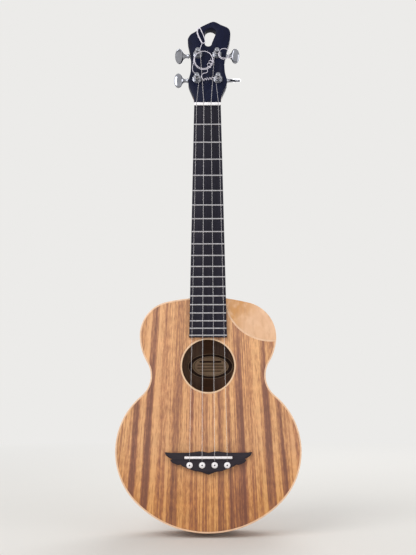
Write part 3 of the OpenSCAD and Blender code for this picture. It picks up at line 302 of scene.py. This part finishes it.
def stripedWood(s):
    mat, tree, shader = newMaterial("stripedBoards", s["shader"])
    axes = objectAxes(tree)
    fan = mathNode(tree, "MULTIPLY_ADD", axes["Z"], -s["spread"], 1 + s["spread"] * s["spreadAt"])
    across = mathNode(tree, "DIVIDE", axes["X"], fan)
    fromSeam = mathNode(tree, "ABSOLUTE", across)
    away = plus(tree, fromSeam, patches(tree, objectCoords(tree, s["wander"]["stretch"]), s["wander"]))
    bass, treble = (bandRamp(tree, away, s[side], s["reach"]) for side in ("bass", "treble"))
    bands = mixColour(tree, mathNode(tree, "GREATER_THAN", axes["X"], 0.0), bass, treble)
    fanned = addNode(tree, "CombineXYZ", {0: across, 1: axes["Y"], 2: axes["Z"]}).outputs[0]

    def along(stretch):
        return addNode(tree, "Mapping", {"Vector": fanned, "Scale": stretch}).outputs["Vector"]

    def streaks(kind):
        return patches(tree, along(s[kind]["stretch"]), s[kind])

    def byHeight(kind):
        return remap(tree, axes["Z"], *s[kind])

    tone = times(tree, times(tree, bands, streaks("broken")), byHeight("strong"))
    for kind in ("broad", "fine", "line", "speck"):
        tone = plus(tree, tone, streaks(kind))
    low = plus(tree, remap(tree, axes["X"], *s["lowBass"]), remap(tree, axes["X"], *s["lowTreble"]))
    low = times(tree, low, remap(tree, fromSeam, *s["lowWithin"]))
    wood = toneRamp(tree, plus(tree, tone, times(tree, byHeight("low"), low)), s["tones"])
    wood = mixColour(tree, streaks("rosy"), wood, mixColour(tree, 1.0, wood, s["blush"], "MULTIPLY"))
    grain = addGrain(tree, along(s["grain"]))
    wood = mixColour(tree, times(tree, grain["Pore"], s["poreShare"]), wood, s["pore"])
    # painted light: patches of sheen, painted sheen towards the neck and painted shade towards the tail
    light = times(tree, streaks("sheen"), times(tree, byHeight("neckSheen"), byHeight("tailShade")))
    # colour deeper towards the tail as painted shade, and washed out towards the neck as painted sheen
    deep = times(tree, byHeight("tailDeep"), byHeight("neckDeep"))
    tinted = addNode(tree, "HueSaturation", {"Color": wood, "Value": light, "Saturation": deep})
    # only the back lies that deep, and only its inner face looks to the front
    normal = addNode(tree, "NewGeometry").outputs["Normal"]
    facing = addNode(tree, "SeparateXYZ", {0: normal}).outputs["Y"]
    within = times(tree, mathNode(tree, "GREATER_THAN", axes["Y"], s["insideFrom"]),
                   mathNode(tree, "LESS_THAN", facing, 0.0))
    # bare wood on the inner face, darkened by painted shade
    bareAndShaded = times(tree, within, s["insideShare"])
    wood = mixColour(tree, bareAndShaded, tinted.outputs["Color"], s["inside"])
    tree.links.new(wood, shader.inputs["Base Color"])
    setGloss(tree, shader, *s["gloss"])
    addBump(tree, shader, grain["Height"], *s["bump"])
    return mat


# plain-grained woods: colours, stretch along the grain, gloss, weight of the pores and shine
plainWoods = {
    "sideWood": {"light": srgb(208, 152, 102), "dark": srgb(124, 84, 68), "stretch": (7, 420, 7),
                 "gloss": (0.36, 0.5), "pores": 0.4, "shine": 0.4},
    "neckWood": {"light": srgb(104, 60, 40), "dark": srgb(62, 33, 24), "stretch": (520, 520, 9),
                 "gloss": (0.4, 0.54), "pores": 0.6, "shine": 0.35},
    "boardWood": {"light": srgb(36, 34, 47), "dark": srgb(20, 18, 27), "stretch": (700, 300, 8),
                  "gloss": (0.46, 0.6), "pores": 0.5, "shine": 0.15},
    "bridgeWood": {"light": srgb(50, 44, 52), "dark": srgb(27, 23, 28), "stretch": (10, 300, 700),
                   "gloss": (0.42, 0.56), "pores": 0.5, "shine": 0.2},
    "innerWood": {"light": srgb(124, 82, 52), "dark": srgb(84, 54, 36), "stretch": (40, 300, 300),
                  "gloss": (0.6, 0.75), "pores": 0.3, "shine": 0.3},
    "headFinish": {"light": srgb(20, 25, 52), "dark": srgb(11, 14, 33), "stretch": (420, 420, 10),
                   "gloss": (0.4, 0.52), "pores": 0.15, "shine": 0.11},
}
# what they share: stretch and noise of the broad figure, weight of the fibres beside it, range and bump
plainGrain = {"broad": 0.2, "noise": (3.0, 0.5), "fibres": 0.55, "range": (0.34, 0.66),
              "bump": (0.18, 0.0002)}


def plainWood(name, s, shared):
    mat, tree, shader = newMaterial(name, {"Specular IOR Level": s["shine"]})
    grain = addGrain(tree, objectCoords(tree, s["stretch"]))
    broadStretch = tuple(v * shared["broad"] for v in s["stretch"])
    broad = noise(tree, objectCoords(tree, broadStretch), 1.0, *shared["noise"])
    fibres = times(tree, grain["Fibre"], shared["fibres"])
    mixed = plus(tree, fibres, times(tree, broad, 1 - shared["fibres"]))
    wood = mixColour(tree, remap(tree, mixed, *shared["range"]), s["light"], s["dark"])
    wood = mixColour(tree, times(tree, grain["Pore"], s["pores"]), wood, s["dark"])
    tree.links.new(wood, shader.inputs["Base Color"])
    setGloss(tree, shader, *s["gloss"])
    addBump(tree, shader, grain["Height"], *shared["bump"])
    return mat


# scooped shoulder: pale maple, painted deeper and darker beside the fretboard as painted shade
bevelMaple = {
    "shader": {"Coat Weight": 0.1, "Coat Roughness": 0.3}, "gloss": (0.36, 0.5), "bump": (0.1, 0.0002),
    # the deep colour is painted shade; it gives way to the pale one along x plus this share of z, with an
    # uneven edge
    "deep": srgb(206, 147, 84), "pale": srgb(227, 184, 148), "down": -0.72, "edge": (0.221, 0.247),
    "uneven": {"stretch": (60, 60, 60), "noise": (2.0, 0.5), "from": (0.3, 0.7), "to": (-0.14, 0.14)},
    # figure laid over it, one kind after another, the last of them painted glints of light
    "cloud": {"colour": srgb(212, 165, 126), "stretch": (95, 40, 70), "turn": (0, 0, 0),
              "noise": (4.0, 0.55, 0.4), "from": (0.46, 0.7), "to": (0.0, 0.45)},
    "flame": {"colour": srgb(186, 134, 96), "stretch": (240, 30, 60), "turn": (0, -0.6, 0),
              "noise": (3.0, 0.5), "from": (0.48, 0.7), "to": (0.0, 0.3)},
    "glint": {"colour": srgb(236, 196, 160), "stretch": (130, 30, 90), "turn": (0, -0.6, 0),
              "noise": (3.0, 0.5), "from": (0.5, 0.7), "to": (0.0, 0.5)},
}


def figuredMaple(s):
    mat, tree, shader = newMaterial("bevelMaple", s["shader"])
    axes = objectAxes(tree)
    # painted shade: the deep colour beside the fretboard fades into the pale maple
    edge = remap(tree, mathNode(tree, "MULTIPLY_ADD", axes["Z"], s["down"], axes["X"]), *s["edge"])
    edge = plus(tree, edge, patches(tree, objectCoords(tree, s["uneven"]["stretch"]), s["uneven"]))
    wood = mixColour(tree, edge, s["deep"], s["pale"])
    figureAndGlint = {}
    # cloud and flame are figure of the wood, glint is a painted highlight
    for kind in ("cloud", "flame", "glint"):
        layer = s[kind]
        coords = objectCoords(tree, layer["stretch"], layer["turn"])
        figureAndGlint[kind] = noise(tree, coords, 1.0, *layer["noise"])
        shown = remap(tree, figureAndGlint[kind], *layer["from"], *layer["to"])
        wood = mixColour(tree, shown, wood, layer["colour"])
    tree.links.new(wood, shader.inputs["Base Color"])
    setGloss(tree, shader, *s["gloss"])
    addBump(tree, shader, figureAndGlint["flame"], *s["bump"])
    return mat


# pieces of one colour with a fine mottle: its two tones and scale, and the gloss
mottled = {
    "creamBinding": {"a": srgb(238, 200, 166), "b": srgb(222, 182, 148), "scale": (160, 160, 160),
                     "gloss": (0.25, 0.4)},
    "holeRing": {"a": srgb(234, 198, 162), "b": srgb(218, 180, 144), "scale": (160, 160, 160),
                 "gloss": (0.3, 0.45)},
    "bone": {"a": srgb(246, 244, 247), "b": srgb(232, 228, 231), "scale": (220, 220, 220),
             "gloss": (0.22, 0.36)},
    "dotBlack": {"a": srgb(70, 66, 68), "b": srgb(44, 40, 42), "scale": (600, 600, 600),
                 "gloss": (0.2, 0.3)},
    "fretWire": {"a": srgb(205, 204, 208), "b": srgb(178, 176, 182), "scale": (300, 900, 900),
                 "gloss": (0.2, 0.34), "metal": 1},
    "chrome": {"a": srgb(160, 162, 170), "b": srgb(146, 148, 156), "scale": (120, 120, 120),
               "gloss": (0.05, 0.14), "metal": 1},
    "caseNickel": {"a": srgb(186, 187, 191), "b": srgb(172, 173, 178), "scale": (260, 260, 260),
                   "gloss": (0.2, 0.32), "metal": 1},
    "wormSteel": {"a": srgb(180, 180, 184), "b": srgb(150, 150, 154), "scale": (400, 400, 400),
                  "gloss": (0.25, 0.4), "metal": 1},
    "gearBrass": {"a": srgb(208, 172, 98), "b": srgb(176, 138, 70), "scale": (300, 300, 300),
                  "gloss": (0.25, 0.4), "metal": 1},
    "nylonTaut": {"a": srgb(238, 235, 237), "b": srgb(224, 220, 222), "scale": (300, 300, 60),
                  "gloss": (0.08, 0.18), "alpha": 0.26},
    "nylonEnd": {"a": srgb(240, 236, 246), "b": srgb(224, 219, 232), "scale": (300, 300, 60),
                 "gloss": (0.18, 0.32), "clear": 0.15},
}
mottle = {"noise": (5.0, 0.6), "from": (0.35, 0.65), "to": (0.0, 1.0), "bump": (0.04, 0.0001)}


def mottledFinish(name, s, shared):
    settings = {"Metallic": s.get("metal", 0), "Transmission Weight": s.get("clear", 0),
                "Alpha": s.get("alpha", 1)}
    mat, tree, shader = newMaterial(name, settings)
    tint = mixColour(tree, patches(tree, objectCoords(tree, s["scale"]), shared), s["a"], s["b"])
    tree.links.new(tint, shader.inputs["Base Color"])
    addBump(tree, shader, setGloss(tree, shader, *s["gloss"]), *shared["bump"])
    return mat


# oval label, blank but for its dark border and plain writing lines
labelSet = {
    "shader": {"Roughness": 0.85}, "bump": (0.15, 0.0001),
    "paper": srgb(224, 190, 156), "aged": srgb(178, 142, 112), "ink": srgb(64, 40, 30),
    "fibres": {"stretch": (700, 700, 700), "noise": (6.0, 0.7), "from": (0.3, 0.7), "to": (0.0, 0.35)},
    "stain": {"stretch": (70, 70, 70), "noise": (3.0, 0.5), "from": (0.4, 0.7), "to": (0.0, 0.6)},
    # in shares of the half label: inner and outer edge of each oval rule,
    # then height, half thickness and half length of each writing line
    "rules": [(0.8, 0.97), (0.72, 0.74)],
    "lines": [(0.36, 0.07, 0.48), (0.1, 0.03, 0.58), (-0.14, 0.03, 0.58), (-0.38, 0.03, 0.48)],
}


def paperLabel(s):
    mat, tree, shader = newMaterial("paperLabel", s["shader"])
    low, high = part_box("label")
    middle, half = (low + high) / 2, (high - low) / 2
    axes = objectAxes(tree)
    across = mathNode(tree, "DIVIDE", mathNode(tree, "SUBTRACT", axes["X"], middle.x), half.x)
    up = mathNode(tree, "DIVIDE", mathNode(tree, "SUBTRACT", axes["Z"], middle.z), half.z)
    outward = mathNode(tree, "SQRT", plus(tree, times(tree, across, across), times(tree, up, up)))
    fibres = noise(tree, objectCoords(tree, s["fibres"]["stretch"]), 1.0, *s["fibres"]["noise"])
    specks = remap(tree, fibres, *s["fibres"]["from"], *s["fibres"]["to"])
    paper = mixColour(tree, specks, s["paper"], s["aged"])
    stain = patches(tree, objectCoords(tree, s["stain"]["stretch"]), s["stain"])
    paper = mixColour(tree, stain, paper, s["aged"])
    marks = []
    for inner, outer in s["rules"]:
        marks.append(times(tree, mathNode(tree, "GREATER_THAN", outward, inner),
                           mathNode(tree, "LESS_THAN", outward, outer)))
    aside = mathNode(tree, "ABSOLUTE", across)
    for height, thick, length in s["lines"]:
        off = mathNode(tree, "ABSOLUTE", mathNode(tree, "SUBTRACT", up, height))
        marks.append(times(tree, mathNode(tree, "LESS_THAN", off, thick),
                           mathNode(tree, "LESS_THAN", aside, length)))
    for mark in marks:
        paper = mixColour(tree, mark, paper, s["ink"])
    tree.links.new(paper, shader.inputs["Base Color"])
    addBump(tree, shader, fibres, *s["bump"])
    return mat


finishes = {"stripedBoards": stripedWood(stripedBoards), "bevelMaple": figuredMaple(bevelMaple),
            "paperLabel": paperLabel(labelSet)}
finishes.update({name: plainWood(name, s, plainGrain) for name, s in plainWoods.items()})
finishes.update({name: mottledFinish(name, s, mottle) for name, s in mottled.items()})
print("materials made:", len(finishes))

# finish of every CAD node; a name ending in a star stands for its numbered nodes
nodeFinish = {
    "stripedBoards": ["soundboard", "back_plate"],
    "sideWood": ["side_bass", "side_treble"],
    "bevelMaple": ["cutaway_bevel"],
    "creamBinding": ["top_binding", "back_binding", "bevel_binding", "heel_cap"],
    "holeRing": ["soundhole_ring"],
    "innerWood": ["top_lining", "back_lining", "neck_block", "tail_block", "neck_dowels", "top_braces",
                  "bridge_plate", "back_braces", "back_strip", "bevel_block"],
    "paperLabel": ["label"],
    "neckWood": ["neck"],
    "boardWood": ["fretboard"],
    "bridgeWood": ["bridge"],
    "headFinish": ["headstock", "headstock_overlay"],
    "fretWire": ["frets"],
    "bone": ["nut", "saddle", "bridge_pins"],
    "dotBlack": ["pin_dots"],
    "chrome": ["tuner_bushings", "tuner_washers", "tuner_screws", "tuner_post_*", "tuner_button_*"],
    "caseNickel": ["tuner_cases"],
    "wormSteel": ["tuner_worm_*"],
    "gearBrass": ["tuner_gear_*"],
    "nylonTaut": ["string_*"],
    "nylonEnd": ["string_tail_*"],
}


def numbered(name):
    if name.endswith("*"):
        return [name.replace("*", str(i + 1)) for i in range(stringCount)]
    return [name]


def dress(obj, finish):
    obj.data.materials.clear()
    obj.data.materials.append(finishes[finish])


finishOf = {node: finish for finish, names in nodeFinish.items()
            for name in names for node in numbered(name)}
for node, finish in finishOf.items():
    dress(nodes[node], finish)
print("CAD nodes dressed:", len(finishOf), "of", len(nodes))


def selectOnly(obj):
    bpy.ops.object.select_all(action="DESELECT")
    obj.select_set(True)
    bpy.context.view_layer.objects.active = obj


# copies of CAD nodes with softened edges: bevel in mm, and the angle from which an edge counts as sharp
softened = {
    "neck": (0, 45), "side_bass": (0, 25), "side_treble": (0, 25), "top_binding": (0.5, 25),
    "back_binding": (0.6, 25), "cutaway_bevel": (0, 25), "bevel_binding": (0, 25),
    "soundhole_ring": (0.2, 25), "headstock": (0.8, 25), "headstock_overlay": (0.35, 25),
    "bridge": (0.4, 22), "fretboard": (0.25, 30), "nut": (0.3, 30), "saddle": (0.15, 40),
    "bridge_pins": (0, 35), "heel_cap": (0.4, 25), "frets": (0, 35), "tuner_cases": (0.5, 30),
    "tuner_bushings": (0.25, 25), "tuner_washers": (0.15, 30), "tuner_screws": (0.2, 30),
    "tuner_post_*": (0.12, 30), "string_*": (0, 70),
}
# weld in mm, angles in degrees: faces this flat are joined, and a bevelled piece is smooth up to smoothTo
softSet = {"weld": 0.004, "flat": 0.5, "segments": 2, "smoothTo": 35}
thinEnded = ["top_binding"]  # tapers to nothing beside the scooped shoulder, so its bevel is held back


def softCopy(node, bevel, angle, s):
    piece = nodes[node].copy()
    piece.data = nodes[node].data.copy()
    piece.name = node + "_finished"
    for key in list(piece.keys()):
        del piece[key]
    piece.parent = None
    bpy.context.scene.collection.objects.link(piece)
    selectOnly(piece)
    bpy.ops.object.mode_set(mode="EDIT")
    bpy.ops.mesh.select_all(action="SELECT")
    bpy.ops.mesh.remove_doubles(threshold=s["weld"] * mm)
    if bevel:
        bpy.ops.mesh.dissolve_limited(angle_limit=math.radians(s["flat"]))
    bpy.ops.object.mode_set(mode="OBJECT")
    if bevel:
        edge = piece.modifiers.new("softEdge", "BEVEL")
        edge.width, edge.segments = bevel * mm, s["segments"]
        edge.limit_method, edge.angle_limit = "ANGLE", math.radians(angle)
        edge.use_clamp_overlap = node in thinEnded
        bpy.ops.object.modifier_apply(modifier=edge.name)
        angle = max(angle, s["smoothTo"])
    bpy.ops.object.shade_smooth_by_angle(angle=math.radians(angle))
    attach(piece, nodes[node]["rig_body"])
    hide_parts(node)


for name, (bevel, angle) in softened.items():
    for node in numbered(name):
        softCopy(node, bevel, angle, softSet)
print("edges softened:", len(softened), "kinds of piece")

# the scoop is part of a ball, so its shading takes the ball's own normals; in mm
scoop = {"centre": (77, -80, -237.466), "radius": 97.652, "near": 0.03}


def smoothScoop(s):
    mesh = bpy.data.objects["cutaway_bevel_finished"].data
    centre = Vector(s["centre"]) * mm
    normals = [Vector() for loop in mesh.loops]  # a zero keeps the normal that is there
    for face in mesh.polygons:
        inward = [centre - mesh.vertices[v].co for v in face.vertices]
        if all(abs(way.length - s["radius"] * mm) < s["near"] * mm for way in inward):
            for loop, way in zip(face.loop_indices, inward):
                normals[loop] = way.normalized()
    mesh.normals_split_custom_set(normals)


smoothScoop(scoop)
print("scooped shoulder smoothed")

# free string ends: places in mm as (x, height, up) on the headstock's face, above the top of the nut
headTilt = math.asin(-joints["post_spin_1"]["axis"][2])
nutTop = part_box("nut")[1].z
tailSet = {
    "diameters": [0.70, 0.92, 0.81, 0.70], "turnRings": 48, "curlRings": 20, "steps": 8, "roundness": 3,
    # where each winding ends: posts, string slots of the nut, and turns about the post
    "posts": [(-13.3, 34.5), (-12.3, 70.5), (12.3, 70.5), (13.3, 34.5)], "sides": [-1, -1, 1, 1],
    "nutX": [-13.65, -4.55, 4.55, 13.65], "nutFloor": 6.25,
    "windRadius": [3.1, 3.21, 3.155, 3.1], "windTurns": [2.262, 2.012, 2.512, 1.762],
    "windPitch": 1.42, "windStart": 6.96,
    # first end: a lead to a wide double loop
    "lead": [(-16.4, 10.7, 38.1), (-18.3, 11.7, 40.8), (-18.7, 13.4, 45)],
    "wide": {"centre": (-4.9, 15.6, 52.6), "across": 12.6, "up": 13.9, "start": 190, "turns": -2.05,
             "rise": 2.6, "shrink": 0.12},
    # second end: a long narrow loop, drawn round nearly twice
    "leaf": [(-9.2, 9.2, 75), (-8, 7.2, 79.6), (-7, 5.4, 84), (-9, 4.6, 89.4), (-11.6, 4.3, 95),
             (-13.1, 4.2, 100.6), (-13.2, 4.2, 104.4), (-12.7, 4.2, 106.9), (-11.5, 4.2, 108.3),
             (-9.9, 4.3, 108.2), (-8.6, 4.4, 106.6), (-7.4, 4.5, 103.8), (-5.9, 4.8, 99.6),
             (-4.1, 5.1, 93.8), (-2.9, 5.6, 89), (-2.9, 6.1, 86.2), (-3.9, 6.6, 84.3), (-5.6, 7, 83.9),
             (-7.1, 7.2, 85.4), (-8.4, 7.1, 88.4), (-10.6, 6.7, 93.8), (-12.3, 6.4, 99.4),
             (-12.6, 6.3, 103), (-12, 6.2, 105.2), (-10.9, 6.2, 106.3), (-9.5, 6.2, 106.1),
             (-8.4, 6.2, 104.6), (-6.4, 6.6, 98.8)],
    # third end: a round loop that runs out past its button
    "ring": {"centre": (21, 10.6, 65.6), "across": 7, "up": 8.1, "start": 150, "turns": 4 / 3,
             "rise": 1.7, "shrink": 0.14},
    "out": [(25, 12.5, 58.3), (29, 12.6, 58.6), (32.6, 12.6, 59.4)],
    # fourth end: tight curls, a bend, and wider curls that climb
    "tight": {"a": (9, 9.7, 31.6), "b": (-5.6, 9.8, 28.8), "radius": 1.4, "count": 4.25},
    "bend": [(-7.2, 11.2, 31.4), (-7.2, 11.2, 34.6), (-4.8, 11.2, 37.2), (-1.6, 11.2, 37.8),
             (0.2, 11.3, 40)],
    "climb": {"a": (-0.4, 11.3, 43.2), "b": (6.8, 11.3, 56.6), "radius": 3, "count": 3},
}


def headPoint(p):
    x, height, up = p[0] * mm, p[1] * mm, p[2] * mm
    return Vector((x, up * math.sin(headTilt) - height * math.cos(headTilt),
                   nutTop + up * math.cos(headTilt) + height * math.sin(headTilt)))


def smoothRoute(points, steps):
    # a smooth curve through every point
    p = [Vector(v) for v in points]
    last = len(p) - 1
    route = []
    for i in range(last):
        a, b, c, d = p[max(i - 1, 0)], p[i], p[i + 1], p[min(i + 2, last)]
        for k in range(steps):
            t = k / steps
            bent, twisted = 2 * a - 5 * b + 4 * c - d, 3 * b - a - 3 * c + d
            route.append(0.5 * (2 * b + (c - a) * t + bent * t * t + twisted * t ** 3))
    return route + [p[last]]


def loopRoute(centre, across, up, start, turns, rise, shrink, rings):
    count = round(abs(turns) * rings)
    route = []
    for k in range(count + 1):
        t = k / count
        a, size = math.radians(start + 360 * turns * t), 1 - shrink * t
        route.append(Vector((centre[0] + size * across * math.cos(a), centre[1] + rise * t,
                             centre[2] + size * up * math.sin(a))))
    return route


def curlRoute(a, b, radius, count, rings):
    # curls about the line from a to b, which open over the first half turn
    a, b = Vector(a), Vector(b)
    side, face = (b - a).cross(Vector((0, 1, 0))).normalized(), Vector((0, 1, 0))
    route = []
    rungs, half = round(count * rings), 0.5 / count
    for k in range(rungs + 1):
        t = k / rungs
        opened = math.sin(math.pi / 2 * min(1, t / half))
        turn = math.radians(360 * count * t)
        route.append(a + (b - a) * (t + half * opened) / (1 + half)
                     + radius * opened * (math.cos(turn) * side + math.sin(turn) * face))
    return route


def tailStart(i, s):
    # the string leaves the nut, touches its post and winds up it
    (x, up), radius, side = s["posts"][i], s["windRadius"][i], s["sides"][i]
    nutUp = -(s["nutFloor"] + s["diameters"][i] / 2) * math.sin(headTilt)
    dx, dz = s["nutX"][i] - x, nutUp - up
    touch = math.atan2(dz, dx) - side * math.acos(radius / math.hypot(dx, dz))
    turn = touch - side * 2 * math.pi * s["windTurns"][i]
    height = s["windStart"] + s["windPitch"] * s["windTurns"][i]
    return (x + radius * math.cos(turn), height, up + radius * math.sin(turn))


def tailRoutes(s):
    starts = [tailStart(i, s) for i in range(stringCount)]
    wide, ring = (loopRoute(**s[loop], rings=s["turnRings"]) for loop in ("wide", "ring"))
    tight, climb = (curlRoute(**s[curl], rings=s["curlRings"]) for curl in ("tight", "climb"))
    first = smoothRoute([starts[0]] + s["lead"] + [wide[0]], s["steps"]) + wide[1:]
    second = smoothRoute([starts[1]] + s["leaf"], s["steps"])
    third = [Vector(starts[2])] + ring[1:] + smoothRoute([ring[-1]] + s["out"], s["steps"])[1:]
    bend = smoothRoute([tight[-1]] + s["bend"] + [climb[0]], s["steps"])
    fourth = [Vector(starts[3])] + tight + bend[1:] + climb[1:]
    return [[headPoint(p) for p in route] for route in (first, second, third, fourth)]


def addTail(i, route, s):
    curve = bpy.data.curves.new("string_end_" + str(i + 1), "CURVE")
    curve.dimensions = "3D"
    curve.bevel_depth = s["diameters"][i] / 2 * mm
    curve.bevel_resolution = s["roundness"]
    curve.use_fill_caps = True
    line = curve.splines.new("POLY")
    line.points.add(len(route) - 1)
    for point, place in zip(line.points, route):
        point.co = (*place, 1)
    piece = bpy.data.objects.new("string_end_" + str(i + 1), curve)
    bpy.context.scene.collection.objects.link(piece)
    curve.materials.append(finishes["nylonEnd"])
    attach(piece, rootBody)
    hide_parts("string_tail_" + str(i + 1))


for i, route in enumerate(tailRoutes(tailSet)):
    addTail(i, route, tailSet)

# chrome tuner buttons: a crowned oval that flares out of its stem, in mm along the shaft
buttonSet = {
    "from": 18.2, "length": 11.5, "width": 20, "thick": 4.8, "plateSides": 40, "plateLevels": 2,
    # faces this level are crowned, by rings with a share of the outline and of the half thickness
    "level": 0.9, "rim": 0.4, "crown": [(0.94, 0.6), (0.8, 0.78), (0.58, 0.92), (0.3, 1)],
    # stem: place along the shaft, half width and half thickness
    "stem": [(11.1, 2.9, 2.9), (11.5, 3.2, 3.2), (12.4, 3.05, 3.05), (13.4, 2.45, 2.45), (15.2, 2.3, 2.3),
             (16.6, 2.7, 2.3), (17.8, 3.6, 2.25), (18.9, 4.9, 2.15), (20.4, 5.6, 1.9)],
    "stemSides": 28, "stemLevels": 1, "sharp": 40,
    "turns": [6, 38, 14, -58],  # degrees that each button stands turned at rest
}


def subdivide(piece, levels):
    smooth = piece.modifiers.new("smooth", "SUBSURF")
    smooth.levels = smooth.render_levels = levels
    bpy.ops.object.modifier_apply(modifier=smooth.name)


def buttonPlate(s):
    # an oval disc whose two faces are drawn in and out, ring by ring
    bpy.ops.object.select_all(action="DESELECT")
    middle = (s["from"] + s["length"] / 2) * mm
    bpy.ops.mesh.primitive_cylinder_add(vertices=s["plateSides"], radius=1, location=(middle, 0, 0),
                                        depth=s["thick"] * s["rim"] * mm)
    plate = bpy.context.object
    plate.scale = (s["length"] / 2 * mm, s["width"] / 2 * mm, 1)
    bpy.ops.object.transform_apply(location=True, rotation=True, scale=True)
    bpy.ops.object.mode_set(mode="EDIT")
    bpy.ops.mesh.select_mode(type="FACE")
    bpy.ops.mesh.select_all(action="DESELECT")
    bpy.ops.object.mode_set(mode="OBJECT")
    for face in plate.data.polygons:
        face.select = abs(face.normal.z) > s["level"]
    bpy.ops.object.mode_set(mode="EDIT")
    size, height = 1, s["rim"]
    for nextSize, nextHeight in s["crown"]:
        bpy.ops.mesh.extrude_region_move()
        bpy.ops.transform.resize(value=(nextSize / size, nextSize / size, nextHeight / height))
        size, height = nextSize, nextHeight
    bpy.ops.object.mode_set(mode="OBJECT")
    subdivide(plate, s["plateLevels"])
    return plate


def buttonStem(s):
    # a disc drawn out along the shaft, ring by ring
    bpy.ops.object.select_all(action="DESELECT")
    at, wide, thick = s["stem"][0]
    bpy.ops.mesh.primitive_circle_add(vertices=s["stemSides"], radius=wide * mm, fill_type="NGON",
                                      location=(at * mm, 0, 0), rotation=(0, math.pi / 2, 0))
    stem = bpy.context.object
    bpy.ops.object.transform_apply(location=True, rotation=True)
    bpy.ops.object.mode_set(mode="EDIT")
    bpy.ops.mesh.select_all(action="SELECT")
    for nextAt, nextWide, nextThick in s["stem"][1:]:
        bpy.ops.mesh.extrude_region_move(TRANSFORM_OT_translate={"value": ((nextAt - at) * mm, 0, 0)})
        bpy.ops.transform.resize(value=(1, nextWide / wide, nextThick / thick))
        at, wide, thick = nextAt, nextWide, nextThick
    bpy.ops.mesh.select_all(action="SELECT")
    bpy.ops.mesh.normals_make_consistent(inside=False)
    bpy.ops.object.mode_set(mode="OBJECT")
    subdivide(stem, s["stemLevels"])
    return stem


def oneButton(s):
    # drawn with the shaft along x and the oval lying flat
    plate, stem = buttonPlate(s), buttonStem(s)
    selectOnly(plate)
    stem.select_set(True)
    bpy.ops.object.join()
    bpy.ops.object.shade_smooth_by_angle(angle=math.radians(s["sharp"]))
    return plate


def placeButtons(s):
    model = oneButton(s)
    for i in range(1, stringCount + 1):
        joint = joints["knob_spin_" + str(i)]
        place = Vector(joint["pos_m"])
        onBass = place.x < 0
        piece = model.copy()
        piece.data = model.data.copy()
        piece.name = "button_" + str(i)
        bpy.context.scene.collection.objects.link(piece)
        lean = Matrix.Rotation(-headTilt, 4, "X")
        flip = Matrix.Scale(-1 if onBass else 1, 4, (1, 0, 0))
        turned = Matrix.Rotation(math.radians(90 + s["turns"][i - 1]), 4, "X")
        piece.data.transform(Matrix.Translation(place) @ lean @ flip @ turned)
        if onBass:
            # mirroring turned the faces inside out
            selectOnly(piece)
            bpy.ops.object.mode_set(mode="EDIT")
            bpy.ops.mesh.select_all(action="SELECT")
            bpy.ops.mesh.flip_normals()
            bpy.ops.object.mode_set(mode="OBJECT")
        dress(piece, "chrome")
        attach(piece, joint["child"])
        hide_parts("tuner_button_" + str(i))
    bpy.data.objects.remove(model)


placeButtons(buttonSet)
print("tuner buttons placed")

# floor, world and lamps, in metres
studio = {
    "floorDrop": 0.006, "floorSize": 30, "floor": srgb(226, 224, 220), "floorShade": srgb(220, 218, 214),
    "shader": {"Roughness": 0.9}, "shade": (3.0, 3.0, 0.5), "shadeFrom": (0.3, 0.7),
    "shadeTo": (0.0, 0.2), "fade": (0.5, 1.8),
    "backdrop": srgb(236, 235, 233), "ambient": 0.56, "aim": (0, 0, -0.25),
}
lamps = [
    {"name": "keySoftbox", "place": (-1.3, -1.7, 1.0), "size": 1.6, "power": 31},
    {"name": "fillSoftbox", "place": (1.6, -1.5, 0.1), "size": 1.6, "power": 12},
    {"name": "backSoftbox", "place": (0.5, 1.6, 0.9), "size": 1.4, "power": 16},
]


def addFloor(s):
    bpy.ops.mesh.primitive_plane_add(size=s["floorSize"], location=(0, 0, cadBox[0].z - s["floorDrop"]))
    floor = bpy.context.object
    floor.name = "studioFloor"
    mat, tree, shader = newMaterial("floorPaper", s["shader"])
    shade = remap(tree, noise(tree, objectCoords(tree), *s["shade"]), *s["shadeFrom"], *s["shadeTo"])
    tree.links.new(mixColour(tree, shade, s["floor"], s["floorShade"]), shader.inputs["Base Color"])
    # far from the object the floor fades into the backdrop, for the camera only
    far = addNode(tree, "VectorMath", {0: objectCoords(tree)}, operation="LENGTH").outputs["Value"]
    fade = times(tree, remap(tree, far, *s["fade"]), addNode(tree, "LightPath").outputs["Is Camera Ray"])
    glow = addNode(tree, "Emission", {"Color": s["backdrop"], "Strength": 1.0})
    blend = addNode(tree, "MixShader", {0: fade, 1: shader.outputs[0], 2: glow.outputs[0]})
    tree.links.new(blend.outputs[0], tree.nodes["Material Output"].inputs["Surface"])
    floor.data.materials.append(mat)


def addWorld(s):
    world = bpy.data.worlds.new("studioWorld")
    bpy.context.scene.world = world
    world.use_nodes = True
    tree = world.node_tree
    tree.nodes.clear()
    path = addNode(tree, "LightPath").outputs
    mirrored = mathNode(tree, "MAXIMUM", path["Is Glossy Ray"], path["Is Transmission Ray"])
    seen = mathNode(tree, "MAXIMUM", path["Is Camera Ray"], mirrored)
    lit = addNode(tree, "Background", {"Color": (1, 1, 1, 1), "Strength": s["ambient"]})
    shown = addNode(tree, "Background", {"Color": s["backdrop"], "Strength": 1.0})
    both = addNode(tree, "MixShader", {0: seen, 1: lit.outputs[0], 2: shown.outputs[0]})
    addNode(tree, "OutputWorld", {"Surface": both.outputs[0]})


def addLamp(s, aim):
    bpy.ops.object.light_add(type="AREA", location=s["place"])
    lamp = bpy.context.object
    lamp.name = s["name"]
    lamp.data.energy, lamp.data.size = s["power"], s["size"]
    lamp.rotation_euler = (Vector(aim) - Vector(s["place"])).to_track_quat("-Z", "Y").to_euler()


addFloor(studio)
addWorld(studio)
for lamp in lamps:
    addLamp(lamp, studio["aim"])
print("studio lit")
